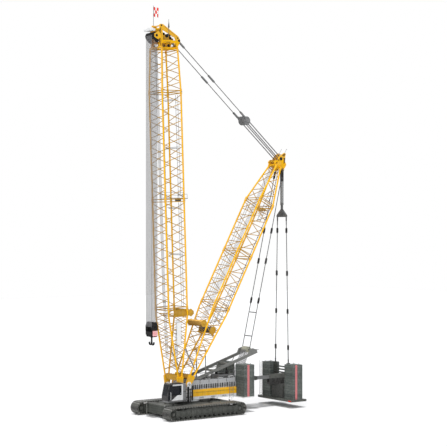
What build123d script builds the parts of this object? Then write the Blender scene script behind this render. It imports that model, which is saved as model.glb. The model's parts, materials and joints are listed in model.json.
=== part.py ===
"""Crawler crane with a lattice main boom, a derrick mast and suspended ballast, modelled at 1:2.

Millimetres. +X runs forward, +Y to the crane's left, +Z up. The origin is on the ground,
under the centre of the slew ring. Each arm has a frame of its own at its foot pivot, with
local coordinates (u, v, s): u to the arm's front or upper side, v to the left, s along the arm.
"""
from build123d import *
from math import atan2, cos, degrees, hypot, pi, radians, sin
import os

os.makedirs("parts", exist_ok=True)

RUNNING = 0.05  # radial clearance of a pin in its bore
SEAT = 0.3  # gap between curved pieces that rest on each other
SIDE_PLAY = 3  # gap beside each eye between its two ears
LEFT, RIGHT = 1, -1
SIDES = {"left": LEFT, "right": RIGHT}

# Tracks and undercarriage
TRACK_LENGTH = 7000
TRACK_HEIGHT = 1000
TRACK_GAUGE = 4400
SHOE_WIDTH = 1000
SHOE_CLEAT = 30
SHOE_FILL = 0.84  # share of the pitch that a shoe covers
BELT_THICKNESS = 60
STRAIGHT_SHOES = 26
END_SHOES = 7
END_SHOE_SINK = 12  # keeps the corners of the shoes that go round an end inside the outline
SIDE_FRAME_WIDTH = 620
SIDE_FRAME_HEIGHT = 500
SIDE_FRAME_GAP = 200  # from the side frame's end to the wheel's axle
WHEEL_WIDTH = 480
ROLLER_RADIUS = 110
ROLLERS = 13
TOP_ROLLER_RADIUS = 85
TOP_ROLLERS = 4
CARBODY_LENGTH = 2700
CARBODY_WIDTH = 2300
CARBODY_BOTTOM = 350
CARBODY_TOP = 950
CROSS_BEAM = 420
CROSS_BEAM_TOP = 780
CENTRAL_BALLAST_LENGTH = 1500
CENTRAL_BALLAST_WIDTH = 3000
CENTRAL_BALLAST_BOTTOM = 260
JACK_RADIUS = 60
JACK_BOTTOM = 140
JACK_Y = 1250
JACK_BRACKET = 90
SLEW_RADIUS = 900
SLEW_RING_HEIGHT = 130

# Superstructure
UPPER_RING_HEIGHT = 120
FRAME_TOP = 1880
FRAME_FRONT = 1560
FRAME_REAR = -4850
FRAME_HALF_WIDTH = 850
REAR_HALF_WIDTH = 620
FRAME_NECK = -3880  # where the frame narrows between the counterweight stacks
POCKET = (900, 800)  # lightening openings through the frame
DECK_TOP = 2350
DECK_FRONT = 412
DECK_REAR = -3830
DECK_SIDE_WIDTH = 300
SEAT_WIDTH = 250
SEAT_PROFILE = (
    (350, 0),
    (650, 0),
    (650, 230),
    (600, 280),
    (380, 260),
    (300, 660),
    (240, 660),
    (290, 200),
)  # x from the cab's rear, z from its floor
PULLEY_BRACKET = (200, 90, 110)  # half lengths at foot and top, height over the pulley
ENGINE_REAR = -3700
ENGINE_FRONT = -2450
ENGINE_HEIGHT = 1000
WINCH_DRUMS = {"rear": -1950, "front": -1050}
DRUM_RADIUS = 260
DRUM_FLANGE = 360
DRUM_LENGTH = 760
DRUM_CHEEK = 50

# Counterweight
STACK_LENGTH = 950
STACK_WIDTH = 1150
STACK_CENTRE_Y = 1285
STACK_SLABS = 12
STACK_HEIGHT = 2440
SLAB_GROOVE = 14
TRAY_THICKNESS = 80

# Cab
CAB_REAR = 1700
CAB_FRONT = 3080
CAB_RIGHT = 1020
CAB_LEFT = 1800
CAB_FLOOR = 1400
CAB_ROOF = 2620
CAB_WALL = 40
WINDSCREEN_LEAN = 200
DOOR_REAR = 1860
DOOR_FRONT = 2680
DOOR_SILL = 90
DOOR_HEAD = 90
DOOR_GAP = 5
WINDOW_FRAME = 80
PANE = 10
CAB_BRACKET = 120
HINGE_RADIUS = 20
HINGE_PIN_RADIUS = 8
HINGE_KNUCKLE = 60
HINGE_LEAF = 70
HINGE_INSET = 150  # from the door's lower and upper edges

# Arms: pivot x, pivot z, elevation from straight ahead
BOOM_PIVOT = (1350, 2300)
BOOM_ANGLE = 88.0
DERRICK_PIVOT = (645, 2400)
DERRICK_ANGLE = 118.3
GANTRY_PIVOT = (300, 2560)
GANTRY_SAG = 3.296  # degrees from the line to the lug down to the gantry's beams

# Lattice
CHORD_RADIUS = 62
LACE_RADIUS = 26
END_BAR_RADIUS = 31
COLLAR_RADIUS = 84
COLLAR_LENGTH = 190
NODE_GAP = 38  # half the distance between two lacing ends at a chord
LACE_INSET = 42  # from a chord's centre line to a lacing end
PIN_RADIUS = 100
EYE_RADIUS = 215
EYE_THICKNESS = 160
EAR_THICKNESS = 60
EAR_RADIUS = 190
FOOT_PLATE = 700

BOOM_HALF_WIDTH = 887
BOOM_HALF_DEPTH = 835
BOOM_FOOT_TAPER = 5250
BOOM_FOOT_LENGTH = 5800
BOOM_INSERT = 8100
BOOM_TOP_SECTION = 3200
BOOM_TOP_HALF_WIDTH = 800
BOOM_TOP_HALF_DEPTH = 700
DERRICK_HALF_WIDTH = 925
DERRICK_HALF_DEPTH = 705
DERRICK_FOOT_TAPER = 6100
DERRICK_FOOT_LENGTH = 6600
DERRICK_INSERT = 4475
DERRICK_TOP_SECTION = 3250
DERRICK_TOP_HALF_WIDTH = 480
DERRICK_TOP_HALF_DEPTH = 230
FOOT_HALF_DEPTH = 150

# Hoist
HOIST_REACH = 1080.5  # from the end of the boom's top section forward to the hook
HEAD_SHEAVE_RISE = 970  # along the boom, from the end of the top section
HEAD_SHEAVE_RADIUS = 230
HOIST_ROPE_RADIUS = 11
SHEAVE_THICKNESS = 70
HOIST_SHEAVE_ROWS = (-360, -240, 240, 360)
BLOCK_TOP = 7150
BLOCK_BOTTOM = 6035
BLOCK_SHEAVE_Z = 6780
BLOCK_CHEEK = 40
HOOK_TIP = 5400

HEAD_AXLE_RADIUS = 80
CROSSHEAD_HEIGHT = 160
HOOK_SHANK_RADIUS = 60
HOOK_BOWL = 105  # inner radius of each side of the double hook
HOOK_BODY = 95  # thickness of the hook's metal round the bowl
HOOK_NECK = 60  # from the crosshead down to the top of the hook's body
HOOK_NUT = 70
HOOK_NUT_RADIUS = 90
BLOCK_SHOULDERS = ((-250, 100), (120, 160))  # z from the sheaves; half lengths at top and bottom
CROSSHEAD_LENGTH = 280
BLOCK_CHEEK_Y = 430
BLOCK_INNER_Y = 170
BLOCK_HALF_LENGTH = 260
HEAD_CHEEK_Y = 560
HEAD_CROSS_TUBES = ((590, 1500), (-200, 550))  # u, s from the end of the top section
HEAD_CROSS_RADIUS = 60
HEAD_WINDOWS = (
    ((-520, 130), (520, 130), (520, 440), (-620, 440)),
    ((440, 660), (440, 1400), (-600, 880), (-700, 660)),
)  # u, s from the end of the top section
FLAG_MAST = (534, 1365)  # x, z of its foot from the end of the top section
FLAG_MAST_HEIGHT = 1970
LAMP_MAST = (-40, 965)
LAMP_MAST_HEIGHT = 1240
MAST_RADIUS = 18
FLAG_SIZE = (460, 760)
FLAG_THICKNESS = 12
BOOM_WINCH_U = -1160
BOOM_WINCH_S = 5440
DERRICK_WINCH_U = 880
DERRICK_WINCH_S = 4650
WINCH_RADIUS = 215
PLATFORM_GAP = 20
PLATFORM_WIDTH = 600
PLATFORM_THICKNESS = 30
SIGN_U = 0
SIGN_S = 3950
SIGN_SIZE = (360, 1700)
SIGN_THICKNESS = 12
BOOM_BACKSTOP_Y = 1080
BOOM_BACKSTOP_S = 2700
BOOM_BACKSTOP_END = (200, 3600)
HEAD_PLATE = 60
LUG_PLATE = 70

# Luffing gear between the boom head and the derrick head
BOOM_LUG_U = -1000
BOOM_LUG_RISE = 650  # along the boom, from the end of the top section
PENDANT_LENGTH = 8640  # from the boom lug to the axle of the floating block
PENDANT_Y = 450
PENDANT_RADIUS = 28
LINK_RADIUS = 52
LUG_PIN_RADIUS = 40
LUG_EYE_RADIUS = 90
LUFF_SHEAVE_RADIUS = 325
LUFF_SHEAVE_Y = 240
LUFF_SHEAVE_WIDTH = 200
LUFF_ROPES = 4
LUFF_ROPE_RADIUS = 12
DERRICK_SHEAVE = (40, 19540)  # u, s on the derrick
DERRICK_SHEAVE_RADIUS = 220

# Suspended ballast
BALLAST_X = -9000
SUSPENSION_Z = 19150
PENDANT_LUG = (-500, 18850)  # u, s on the derrick
GANTRY_LUG_X = -5425
GANTRY_LUG_SHARE = 1.9815  # rise of the lug over the pivot, by that of the counterweights' top
PALLET_BOTTOM = 475
PALLET_THICKNESS = 160
PALLET_LENGTH = 1525
PALLET_WIDTH = 4325
BALLAST_STACK_LENGTH = 950
BALLAST_STACK_WIDTH = 1080
BALLAST_STACK_Y = 1480
BALLAST_STACK_HEIGHT = 2720
BALLAST_SLABS = 13
CENTRE_STACK_WIDTH = 1400
CENTRE_STACK_HEIGHT = 1100
CENTRE_SLABS = 5
POST_Y = 825
STRAND_TOP_Y = 565
POST_WIDTH = 100
POST_TOP = 3400
STRAND_TOP = 15000
EQUALIZER_TOP = 15650
BARS_BOTTOM = 15950
BARS_TOP = 18125
GUIDE_Z = 2330
GUIDE_HALF_WIDTH = 150
GUIDE_OUTER_LENGTH = 1425
GUIDE_WALL = 25
GUIDE_GAP = 6
BACKSTOP_Y = 612
BACKSTOP_RADIUS = 45
BACKSTOP_ROD_RADIUS = 30
BACKSTOP_EYE = 56
BACKSTOP_HEAD = 38
BACKSTOP_TUBE = 1300
BACKSTOP_ROD = 1900
GUIDE_END_PLATE = 40
GUIDE_SETBACK = 160
GUIDE_INNER_START = 1175
GUIDE_TIP = 2915
GUIDE_NECK = 200
GUIDE_EYE = 140
GUIDE_EYE_RADIUS = 95
GUIDE_PIN_RADIUS = 50
FORK_FRONT = -7625
FORK_REAR = -8275
FORK_FLOOR = 1900
FORK_TOP = 2540
FORK_GAP = 16
FORK_PLATE = 45
LOWER_PULLEY = (-4250, 2250)
LOWER_PULLEY_Y = 380
LOWER_PULLEY_RADIUS = 170
LOWER_AXLE_RADIUS = 50
GANTRY_ROPES = 6
GANTRY_ROPE_PITCH = 100
BACKSTOP_BAR_S = 2950
BAR_Y = 110
BAR_THICKNESS = 50
BAR_END = 90
EQUALIZER_APEX = 70
EQUALIZER_FLANGE = 150
EQUALIZER_THICKNESS = 120
REAR_LINKS = ((0.01, 0.05), (0.33, 0.36), (0.5, 0.53), (0.72, 0.75))
END_LINK = 300
STRAND_LINKS = ((0.05, 0.09), (0.36, 0.4), (0.64, 0.67), (0.9, 0.93))
CROSS_BAR_Z = (2620, 2850, 3080)
GANTRY_Y = 730
GANTRY_EAR = 40
GANTRY_CROSS_BARS = (2300, 3800)
GANTRY_CROSS_RADIUS = 75
GANTRY_WIDTH = 100
GANTRY_DEPTH = 220
GANTRY_TAIL = 432  # of the beams beyond the lug
GANTRY_PIN_RADIUS = 60
GANTRY_AXLE_RADIUS = 60
GANTRY_PULLEY_RADIUS = 220
GANTRY_PULLEY_WIDTH = 700
GANTRY_PLATFORM = (-535, -100)  # x, z from the lug
GANTRY_PLATFORM_LENGTH = 400
REAR_LOWER_GAP = 75
REAR_PENDANT_Y = 480
SPREADER_SHARES = (0.8, 0.93)
DERRICK_CHEEK_Y = 380

# ---------------------------------------------------------------- places worked out from the sizes
TRACK_Y = TRACK_GAUGE / 2
BOOM_TOP_START = BOOM_FOOT_LENGTH + 2 * BOOM_INSERT
BOOM_TOP_END = BOOM_TOP_START + BOOM_TOP_SECTION
HEAD_SHEAVE_S = BOOM_TOP_END + HEAD_SHEAVE_RISE
HOIST_X = BOOM_PIVOT[0] + BOOM_TOP_END * cos(radians(BOOM_ANGLE)) + HOIST_REACH
BOOM_LUG = (BOOM_LUG_U, BOOM_TOP_END + BOOM_LUG_RISE)  # u, s on the boom
LOOP_INSIDE = TRACK_HEIGHT / 2 - SHOE_CLEAT - BELT_THICKNESS
AXLE_X = (TRACK_LENGTH - TRACK_HEIGHT) / 2
FRAME_INSIDE_Y = TRACK_Y - SIDE_FRAME_WIDTH / 2
FRAME_BOTTOM = CARBODY_TOP + SLEW_RING_HEIGHT + UPPER_RING_HEIGHT
GANTRY_RISE = GANTRY_LUG_SHARE * (FRAME_BOTTOM + STACK_HEIGHT - GANTRY_PIVOT[1])
GANTRY_REACH = GANTRY_LUG_X - GANTRY_PIVOT[0]
GANTRY_LUG = (GANTRY_LUG_X, GANTRY_PIVOT[1] + GANTRY_RISE)  # x, z
GANTRY_ANGLE = degrees(atan2(GANTRY_RISE, GANTRY_REACH)) + GANTRY_SAG
GANTRY_LENGTH = hypot(GANTRY_RISE, GANTRY_REACH) + GANTRY_TAIL
FRAME_HEIGHT = FRAME_TOP - FRAME_BOTTOM
GUIDE_EAR_Y = GUIDE_EYE / 2 + SIDE_PLAY + EAR_THICKNESS / 2
DECK_INSIDE_Y = FRAME_HALF_WIDTH - DECK_SIDE_WIDTH


def arm_frame(pivot, elevation):
    """Local frame of an arm: z along it, x to its front or upper side, y to the left."""
    angle = radians(elevation)
    return Plane(
        origin=(pivot[0], 0, pivot[1]),
        x_dir=(sin(angle), 0, -cos(angle)),
        z_dir=(cos(angle), 0, sin(angle)),
    )


def side_plane(frame, v):
    """Sketch plane of an arm seen from its right: x is u, y is s."""
    return Plane(origin=frame.from_local_coords((0, v, 0)), x_dir=frame.x_dir, z_dir=(0, -1, 0))


def point(frame, u, v, s):
    return frame.from_local_coords(Vector(u, v, s))


def tube(start, end, radius):
    """Round bar from one point to another."""
    run = Vector(end) - Vector(start)
    return Solid.make_cylinder(radius, run.length, Plane(origin=start, z_dir=run))


def ball(centre, radius):
    return Solid.make_sphere(radius, Plane(origin=centre), -90, 90)


def plates(frame, offsets, thickness, outline):
    """Equal upright plates of one outline, given as (u, s), at several v."""
    with BuildPart() as pack:
        for v in offsets:
            with BuildSketch(side_plane(frame, v)):
                with BuildLine():
                    Polyline(*outline, close=True)
                make_face()
            extrude(amount=thickness / 2, both=True)
    return pack.part


def discs(frame, centre, offsets, radius, width):
    """Equal discs across an arm, centred at (u, s), at several v."""
    with BuildPart() as pack:
        for v in offsets:
            with BuildSketch(side_plane(frame, v)):
                with Locations(centre):
                    Circle(radius)
            extrude(amount=width / 2, both=True)
    return pack.part


def shaft(frame, centre, half_length, radius):
    u, s = centre
    return tube(point(frame, u, -half_length, s), point(frame, u, half_length, s), radius)


def save(piece, name):
    piece.part.label = name
    export_step(piece.part, f"parts/{name}.step")


BOOM = arm_frame(BOOM_PIVOT, BOOM_ANGLE)
DERRICK = arm_frame(DERRICK_PIVOT, DERRICK_ANGLE)
GANTRY = arm_frame(GANTRY_PIVOT, GANTRY_ANGLE)
WORLD = arm_frame((0, 0), 90)
lug = point(BOOM, BOOM_LUG[0], 0, BOOM_LUG[1])
BOOM_LUG_XZ = (lug.X, lug.Z)
sheave = point(DERRICK, DERRICK_SHEAVE[0], 0, DERRICK_SHEAVE[1])
LUFFING = arm_frame(
    BOOM_LUG_XZ, degrees(atan2(sheave.Z - BOOM_LUG_XZ[1], sheave.X - BOOM_LUG_XZ[0]))
)
LUFF_LENGTH = hypot(sheave.X - BOOM_LUG_XZ[0], sheave.Z - BOOM_LUG_XZ[1])
lug = point(DERRICK, PENDANT_LUG[0], 0, PENDANT_LUG[1])
REAR_LUG_XZ = (lug.X, lug.Z)
REAR = arm_frame(
    REAR_LUG_XZ, degrees(atan2(GANTRY_LUG[1] - REAR_LUG_XZ[1], GANTRY_LUG[0] - REAR_LUG_XZ[0]))
)
REAR_LENGTH = hypot(GANTRY_LUG[0] - REAR_LUG_XZ[0], GANTRY_LUG[1] - REAR_LUG_XZ[1])


# ---------------------------------------------------------------- undercarriage
def track(name, side):
    """Closed loop of belt and shoes around one side frame."""
    pitch = 2 * AXLE_X / STRAIGHT_SHOES
    end_radius = TRACK_HEIGHT / 2 - SHOE_CLEAT - END_SHOE_SINK
    end_pitch = 180 / END_SHOES
    with BuildPart() as loop:
        with BuildSketch(Plane.XZ.offset(-side * TRACK_Y)):
            with Locations((0, TRACK_HEIGHT / 2)):
                SlotOverall(TRACK_LENGTH - 2 * SHOE_CLEAT, TRACK_HEIGHT - 2 * SHOE_CLEAT)
                with GridLocations(pitch, TRACK_HEIGHT - 2 * SHOE_CLEAT, STRAIGHT_SHOES, 2):
                    Rectangle(SHOE_FILL * pitch, 2 * SHOE_CLEAT)
            for end in (1, -1):
                with Locations((end * AXLE_X, TRACK_HEIGHT / 2)):
                    with PolarLocations(
                        end_radius, END_SHOES, end_pitch / 2 - end * 90, 180 - end_pitch, endpoint=True
                    ):
                        Rectangle(2 * SHOE_CLEAT, SHOE_FILL * radians(end_pitch) * end_radius)
            with Locations((0, TRACK_HEIGHT / 2)):
                SlotOverall(2 * (AXLE_X + LOOP_INSIDE), 2 * LOOP_INSIDE, mode=Mode.SUBTRACT)
        extrude(amount=SHOE_WIDTH / 2, both=True)
    save(loop, name)


def side_frame(name, side):
    """Box frame inside a track, with its two end wheels and its rollers."""
    plane = Plane.XZ.offset(-side * TRACK_Y)
    middle = TRACK_HEIGHT / 2
    low_roller = middle - LOOP_INSIDE + ROLLER_RADIUS + SEAT
    high_roller = middle + LOOP_INSIDE - TOP_ROLLER_RADIUS - SEAT
    body_length = 2 * (AXLE_X - SIDE_FRAME_GAP)
    with BuildPart() as frame:
        with BuildSketch(plane):
            with Locations((0, middle)):
                Rectangle(body_length, SIDE_FRAME_HEIGHT)
            with Locations((0, (middle + high_roller) / 2)):
                Trapezoid(0.7 * body_length, high_roller - middle, 70)
        extrude(amount=SIDE_FRAME_WIDTH / 2, both=True)
        with BuildSketch(plane):
            with Locations((AXLE_X, middle), (-AXLE_X, middle)):
                Circle(LOOP_INSIDE - SEAT)
            with Locations((0, low_roller)):
                with GridLocations(body_length / ROLLERS, 1, ROLLERS, 1):
                    Circle(ROLLER_RADIUS)
            with Locations((0, high_roller)):
                with GridLocations(body_length / (2 * TOP_ROLLERS), 1, TOP_ROLLERS, 1):
                    Circle(TOP_ROLLER_RADIUS)
        extrude(amount=WHEEL_WIDTH / 2, both=True)
        with BuildSketch(plane):
            with Locations((AXLE_X, middle), (-AXLE_X, middle)):
                Circle(LOOP_INSIDE / 3)
        extrude(amount=SIDE_FRAME_WIDTH / 2, both=True)
    save(frame, name)


for side_name, side in SIDES.items():
    track(f"track_{side_name}", side)
    side_frame(f"crawler_frame_{side_name}", side)

with BuildPart() as carbody:
    with BuildSketch(Plane.XY.offset(CARBODY_BOTTOM)):
        Rectangle(CARBODY_LENGTH, CARBODY_WIDTH)
        chamfer(vertices(), CROSS_BEAM)
    extrude(amount=CARBODY_TOP - CARBODY_BOTTOM)
    with BuildSketch(Plane.XY.offset(CARBODY_BOTTOM)):
        with GridLocations(CARBODY_LENGTH - CROSS_BEAM, 1, 2, 1):
            Rectangle(CROSS_BEAM, 2 * FRAME_INSIDE_Y)
    extrude(amount=CROSS_BEAM_TOP - CARBODY_BOTTOM)
save(carbody, "carbody")

# Ballast at both ends of the carbody, with the support jacks on its faces.
JACK_X = CARBODY_LENGTH / 2 + CENTRAL_BALLAST_LENGTH + JACK_BRACKET
with BuildPart() as central_ballast:
    for end in (1, -1):
        with BuildSketch(Plane.XY.offset(CENTRAL_BALLAST_BOTTOM)):
            with Locations((end * (CARBODY_LENGTH + CENTRAL_BALLAST_LENGTH) / 2, 0)):
                Rectangle(CENTRAL_BALLAST_LENGTH, CENTRAL_BALLAST_WIDTH)
        extrude(amount=CARBODY_TOP - CENTRAL_BALLAST_BOTTOM)
    for end in (1, -1):
        for side in SIDES.values():
            with BuildSketch(Plane.XY.offset(JACK_BOTTOM)):
                with Locations((end * JACK_X, side * JACK_Y)):
                    Circle(JACK_RADIUS)
            extrude(amount=CARBODY_TOP - JACK_BOTTOM)
            with BuildSketch(Plane.XY.offset(CENTRAL_BALLAST_BOTTOM)):
                with Locations((end * (JACK_X - JACK_BRACKET / 2), side * JACK_Y)):
                    Rectangle(JACK_BRACKET, 2 * JACK_RADIUS)
            extrude(amount=(CARBODY_TOP - CENTRAL_BALLAST_BOTTOM) * 0.8)
save(central_ballast, "central_ballast")

with BuildPart() as slew_ring:
    with BuildSketch(Plane.XY.offset(CARBODY_TOP)):
        Circle(SLEW_RADIUS)
    extrude(amount=SLEW_RING_HEIGHT)
save(slew_ring, "slew_ring")


# ---------------------------------------------------------------- superstructure
def clevis(pivot, half_width, base, eye, ear, ear_radius, pin_radius):
    """Two pairs of ears around the eyes of an arm, with their pins; they stand on the base's height."""
    outer = eye / 2 + SIDE_PLAY + ear
    with BuildPart() as ears:
        for side in SIDES.values():
            for inner_or_outer in (1, -1):
                v = side * half_width + inner_or_outer * (outer - ear / 2)
                with BuildSketch(Plane.XZ.offset(-v)):
                    with Locations(pivot):
                        Circle(ear_radius)
                    with Locations((pivot[0], (pivot[1] + base) / 2)):
                        Rectangle(2 * ear_radius, pivot[1] - base)
                extrude(amount=ear / 2, both=True)
            with BuildSketch(Plane.XZ.offset(-side * half_width)):
                with Locations(pivot):
                    Circle(pin_radius)
            extrude(amount=outer, both=True)
    return ears.part


arm_ears = (FRAME_TOP, EYE_THICKNESS, EAR_THICKNESS, EAR_RADIUS, PIN_RADIUS)
boom_clevis = clevis(BOOM_PIVOT, BOOM_HALF_WIDTH, *arm_ears)
derrick_clevis = clevis(DERRICK_PIVOT, DERRICK_HALF_WIDTH, *arm_ears)
gantry_clevis = clevis(
    GANTRY_PIVOT, GANTRY_Y, DECK_TOP, GANTRY_WIDTH, GANTRY_EAR, GANTRY_DEPTH / 2, GANTRY_PIN_RADIUS
)
# Bracket of the guide beam, at the rear end of the frame.
GUIDE_PIVOT = (FRAME_REAR - GUIDE_SETBACK, GUIDE_Z)
bracket_plates = plates(
    WORLD,
    (-GUIDE_EAR_Y, GUIDE_EAR_Y),
    EAR_THICKNESS,
    [
        (FRAME_REAR + 450, FRAME_TOP),
        (FRAME_REAR, FRAME_TOP),
        (GUIDE_PIVOT[0] - GUIDE_EYE_RADIUS, GUIDE_Z - GUIDE_EYE_RADIUS),
        (GUIDE_PIVOT[0] - GUIDE_EYE_RADIUS, GUIDE_Z + GUIDE_EYE_RADIUS),
        (FRAME_REAR + 100, GUIDE_Z + 160),
        (FRAME_REAR + 450, GUIDE_Z - 200),
    ],
)
# Lower pulley of the gantry's rope, on the frame between the counterweights.
lower_cheeks = plates(
    WORLD,
    (-LOWER_PULLEY_Y, LOWER_PULLEY_Y),
    DRUM_CHEEK,
    [
        (LOWER_PULLEY[0] - PULLEY_BRACKET[0], FRAME_TOP),
        (LOWER_PULLEY[0] + PULLEY_BRACKET[0], FRAME_TOP),
        (LOWER_PULLEY[0] + PULLEY_BRACKET[1], LOWER_PULLEY[1] + PULLEY_BRACKET[2]),
        (LOWER_PULLEY[0] - PULLEY_BRACKET[1], LOWER_PULLEY[1] + PULLEY_BRACKET[2]),
    ],
)
lower_discs = discs(
    WORLD, LOWER_PULLEY, (0,), LOWER_PULLEY_RADIUS, 2 * LOWER_PULLEY_Y - DRUM_CHEEK - 2 * SIDE_PLAY
)

STACK_X = FRAME_REAR + STACK_LENGTH / 2
with BuildPart() as superstructure_frame:
    with BuildSketch(Plane.XY.offset(CARBODY_TOP + SLEW_RING_HEIGHT)):
        Circle(SLEW_RADIUS - 60)
    extrude(amount=UPPER_RING_HEIGHT)
    with BuildSketch(Plane.XY.offset(FRAME_BOTTOM)):
        with Locations(((FRAME_NECK + FRAME_FRONT) / 2, 0)):
            Rectangle(FRAME_FRONT - FRAME_NECK, 2 * FRAME_HALF_WIDTH)
        with Locations(((FRAME_REAR + FRAME_NECK) / 2, 0)):
            Rectangle(FRAME_NECK - FRAME_REAR, 2 * REAR_HALF_WIDTH)
        with Locations(((FRAME_NECK + DECK_FRONT) / 2, 0)):
            with GridLocations(POCKET[0] + 250, 1, 3, 1):
                Rectangle(*POCKET, mode=Mode.SUBTRACT)
    extrude(amount=FRAME_HEIGHT)
    for wing in SIDES.values():  # outriggers of the frame that carry the outer ears
        with BuildSketch(Plane.XY.offset(FRAME_BOTTOM + FRAME_HEIGHT / 2)):
            with Locations((DECK_FRONT + (FRAME_FRONT - DECK_FRONT) / 2, wing * FRAME_HALF_WIDTH)):
                Rectangle(FRAME_FRONT - DECK_FRONT, 2 * (DERRICK_HALF_WIDTH + 160 - FRAME_HALF_WIDTH))
        extrude(amount=FRAME_HEIGHT / 2)
    with BuildSketch(Plane.XY.offset(FRAME_BOTTOM - TRAY_THICKNESS)):
        with Locations((STACK_X, 0)):
            Rectangle(STACK_LENGTH, 2 * STACK_CENTRE_Y + STACK_WIDTH)
    extrude(amount=TRAY_THICKNESS)
    add([boom_clevis, derrick_clevis, bracket_plates, lower_cheeks])
    add(lower_discs)
    add(shaft(WORLD, LOWER_PULLEY, LOWER_PULLEY_Y, LOWER_AXLE_RADIUS))
    add(shaft(WORLD, GUIDE_PIVOT, GUIDE_EAR_Y + EAR_THICKNESS / 2, GUIDE_PIN_RADIUS))
save(superstructure_frame, "superstructure_frame")

with BuildPart() as side_decks:
    for side in SIDES.values():
        with BuildSketch(Plane.XY.offset(FRAME_TOP)):
            with Locations(
                ((DECK_FRONT + DECK_REAR) / 2, side * (FRAME_HALF_WIDTH - DECK_SIDE_WIDTH / 2))
            ):
                Rectangle(DECK_FRONT - DECK_REAR, DECK_SIDE_WIDTH)
        extrude(amount=DECK_TOP - FRAME_TOP)
    add(gantry_clevis)
save(side_decks, "side_decks")

with BuildPart() as engine_block:
    with BuildSketch(Plane.XY.offset(FRAME_TOP)):
        with Locations(((ENGINE_REAR + ENGINE_FRONT) / 2, 0)):
            Rectangle(ENGINE_FRONT - ENGINE_REAR, 2 * DECK_INSIDE_Y)
    extrude(amount=ENGINE_HEIGHT)
save(engine_block, "engine_block")

with BuildPart() as hoist_winches:
    for drum_x in WINCH_DRUMS.values():
        plane = Plane.XZ
        drum_z = FRAME_TOP + DRUM_FLANGE
        with BuildSketch(plane):
            with Locations((drum_x, drum_z)):
                Circle(DRUM_RADIUS)
        extrude(amount=DRUM_LENGTH / 2, both=True)
        for side in SIDES.values():
            with BuildSketch(plane.offset(-side * (DRUM_LENGTH / 2 - DRUM_CHEEK / 2))):
                with Locations((drum_x, drum_z)):
                    Circle(DRUM_FLANGE)
            extrude(amount=DRUM_CHEEK / 2, both=True)
            with BuildSketch(plane.offset(-side * (DECK_INSIDE_Y - DRUM_CHEEK / 2))):
                with Locations((drum_x, drum_z)):
                    Circle(DRUM_RADIUS * 0.8)
                with Locations((drum_x, (FRAME_TOP + drum_z) / 2)):
                    Rectangle(1.6 * DRUM_RADIUS, drum_z - FRAME_TOP)
            extrude(amount=DRUM_CHEEK / 2, both=True)
        with BuildSketch(plane):
            with Locations((drum_x, drum_z)):
                Circle(DRUM_RADIUS / 3)
        extrude(amount=DECK_INSIDE_Y, both=True)
save(hoist_winches, "hoist_winches")


# ---------------------------------------------------------------- slab stacks
def slab_stacks(name, centres, length, width, bottom, height, slabs):
    """Piles of flat slabs, each on a core, with a groove at each joint."""
    pitch = height / slabs
    with BuildPart() as stacks:
        for centre in centres:
            with BuildSketch(Plane.XY.offset(bottom)):
                with Locations(centre):
                    Rectangle(length - 2 * SLAB_GROOVE, width - 2 * SLAB_GROOVE)
            extrude(amount=height)
            levels = [(*centre, bottom + pitch * k + SLAB_GROOVE / 2) for k in range(slabs)]
            with Locations(*levels):
                Box(length, width, pitch - SLAB_GROOVE, align=(Align.CENTER, Align.CENTER, Align.MIN))
    save(stacks, name)


slab_stacks(
    "counterweight_stacks",
    [(STACK_X, side * STACK_CENTRE_Y) for side in SIDES.values()],
    STACK_LENGTH,
    STACK_WIDTH,
    FRAME_BOTTOM,
    STACK_HEIGHT,
    STACK_SLABS,
)


# ---------------------------------------------------------------- cab
CAB_WIDTH = CAB_LEFT - CAB_RIGHT
CAB_Y = (CAB_LEFT + CAB_RIGHT) / 2
DOOR_BOTTOM = CAB_FLOOR + DOOR_SILL
DOOR_TOP = CAB_ROOF - DOOR_HEAD
WAIST = CAB_FLOOR + 0.3 * (CAB_ROOF - CAB_FLOOR)


def cab_outline(inset):
    """Corners of the cab seen from the side, moved in by the inset."""
    return [
        (CAB_REAR + inset, CAB_FLOOR + inset),
        (CAB_FRONT - inset, CAB_FLOOR + inset),
        (CAB_FRONT - inset, WAIST),
        (CAB_FRONT - WINDSCREEN_LEAN - inset, CAB_ROOF - inset),
        (CAB_REAR + inset, CAB_ROOF - inset),
    ]


DOOR_HINGE = (DOOR_REAR, CAB_LEFT + HINGE_RADIUS)
HINGE_LEVELS = (DOOR_BOTTOM + HINGE_INSET, DOOR_TOP - HINGE_INSET - 2 * HINGE_KNUCKLE)


def knuckles(bottoms, direction):
    """Hinge knuckles outside the cab's left face, each with its leaf to the front or the rear."""
    with BuildPart() as row:
        for bottom in bottoms:
            with BuildSketch(Plane.XY.offset(bottom)):
                with Locations(DOOR_HINGE):
                    Circle(HINGE_RADIUS)
                with Locations((DOOR_HINGE[0] + direction * HINGE_LEAF / 2, CAB_LEFT + HINGE_RADIUS / 2)):
                    Rectangle(HINGE_LEAF, HINGE_RADIUS)
            extrude(amount=HINGE_KNUCKLE - SEAT)
    return row.part


def pins(bottoms, radius, length):
    """Upright round pins, or the cutters of their bores, on the door's hinge line."""
    with BuildPart() as row:
        for bottom in bottoms:
            with BuildSketch(Plane.XY.offset(bottom)):
                with Locations(DOOR_HINGE):
                    Circle(radius)
            extrude(amount=length)
    return row.part


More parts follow.
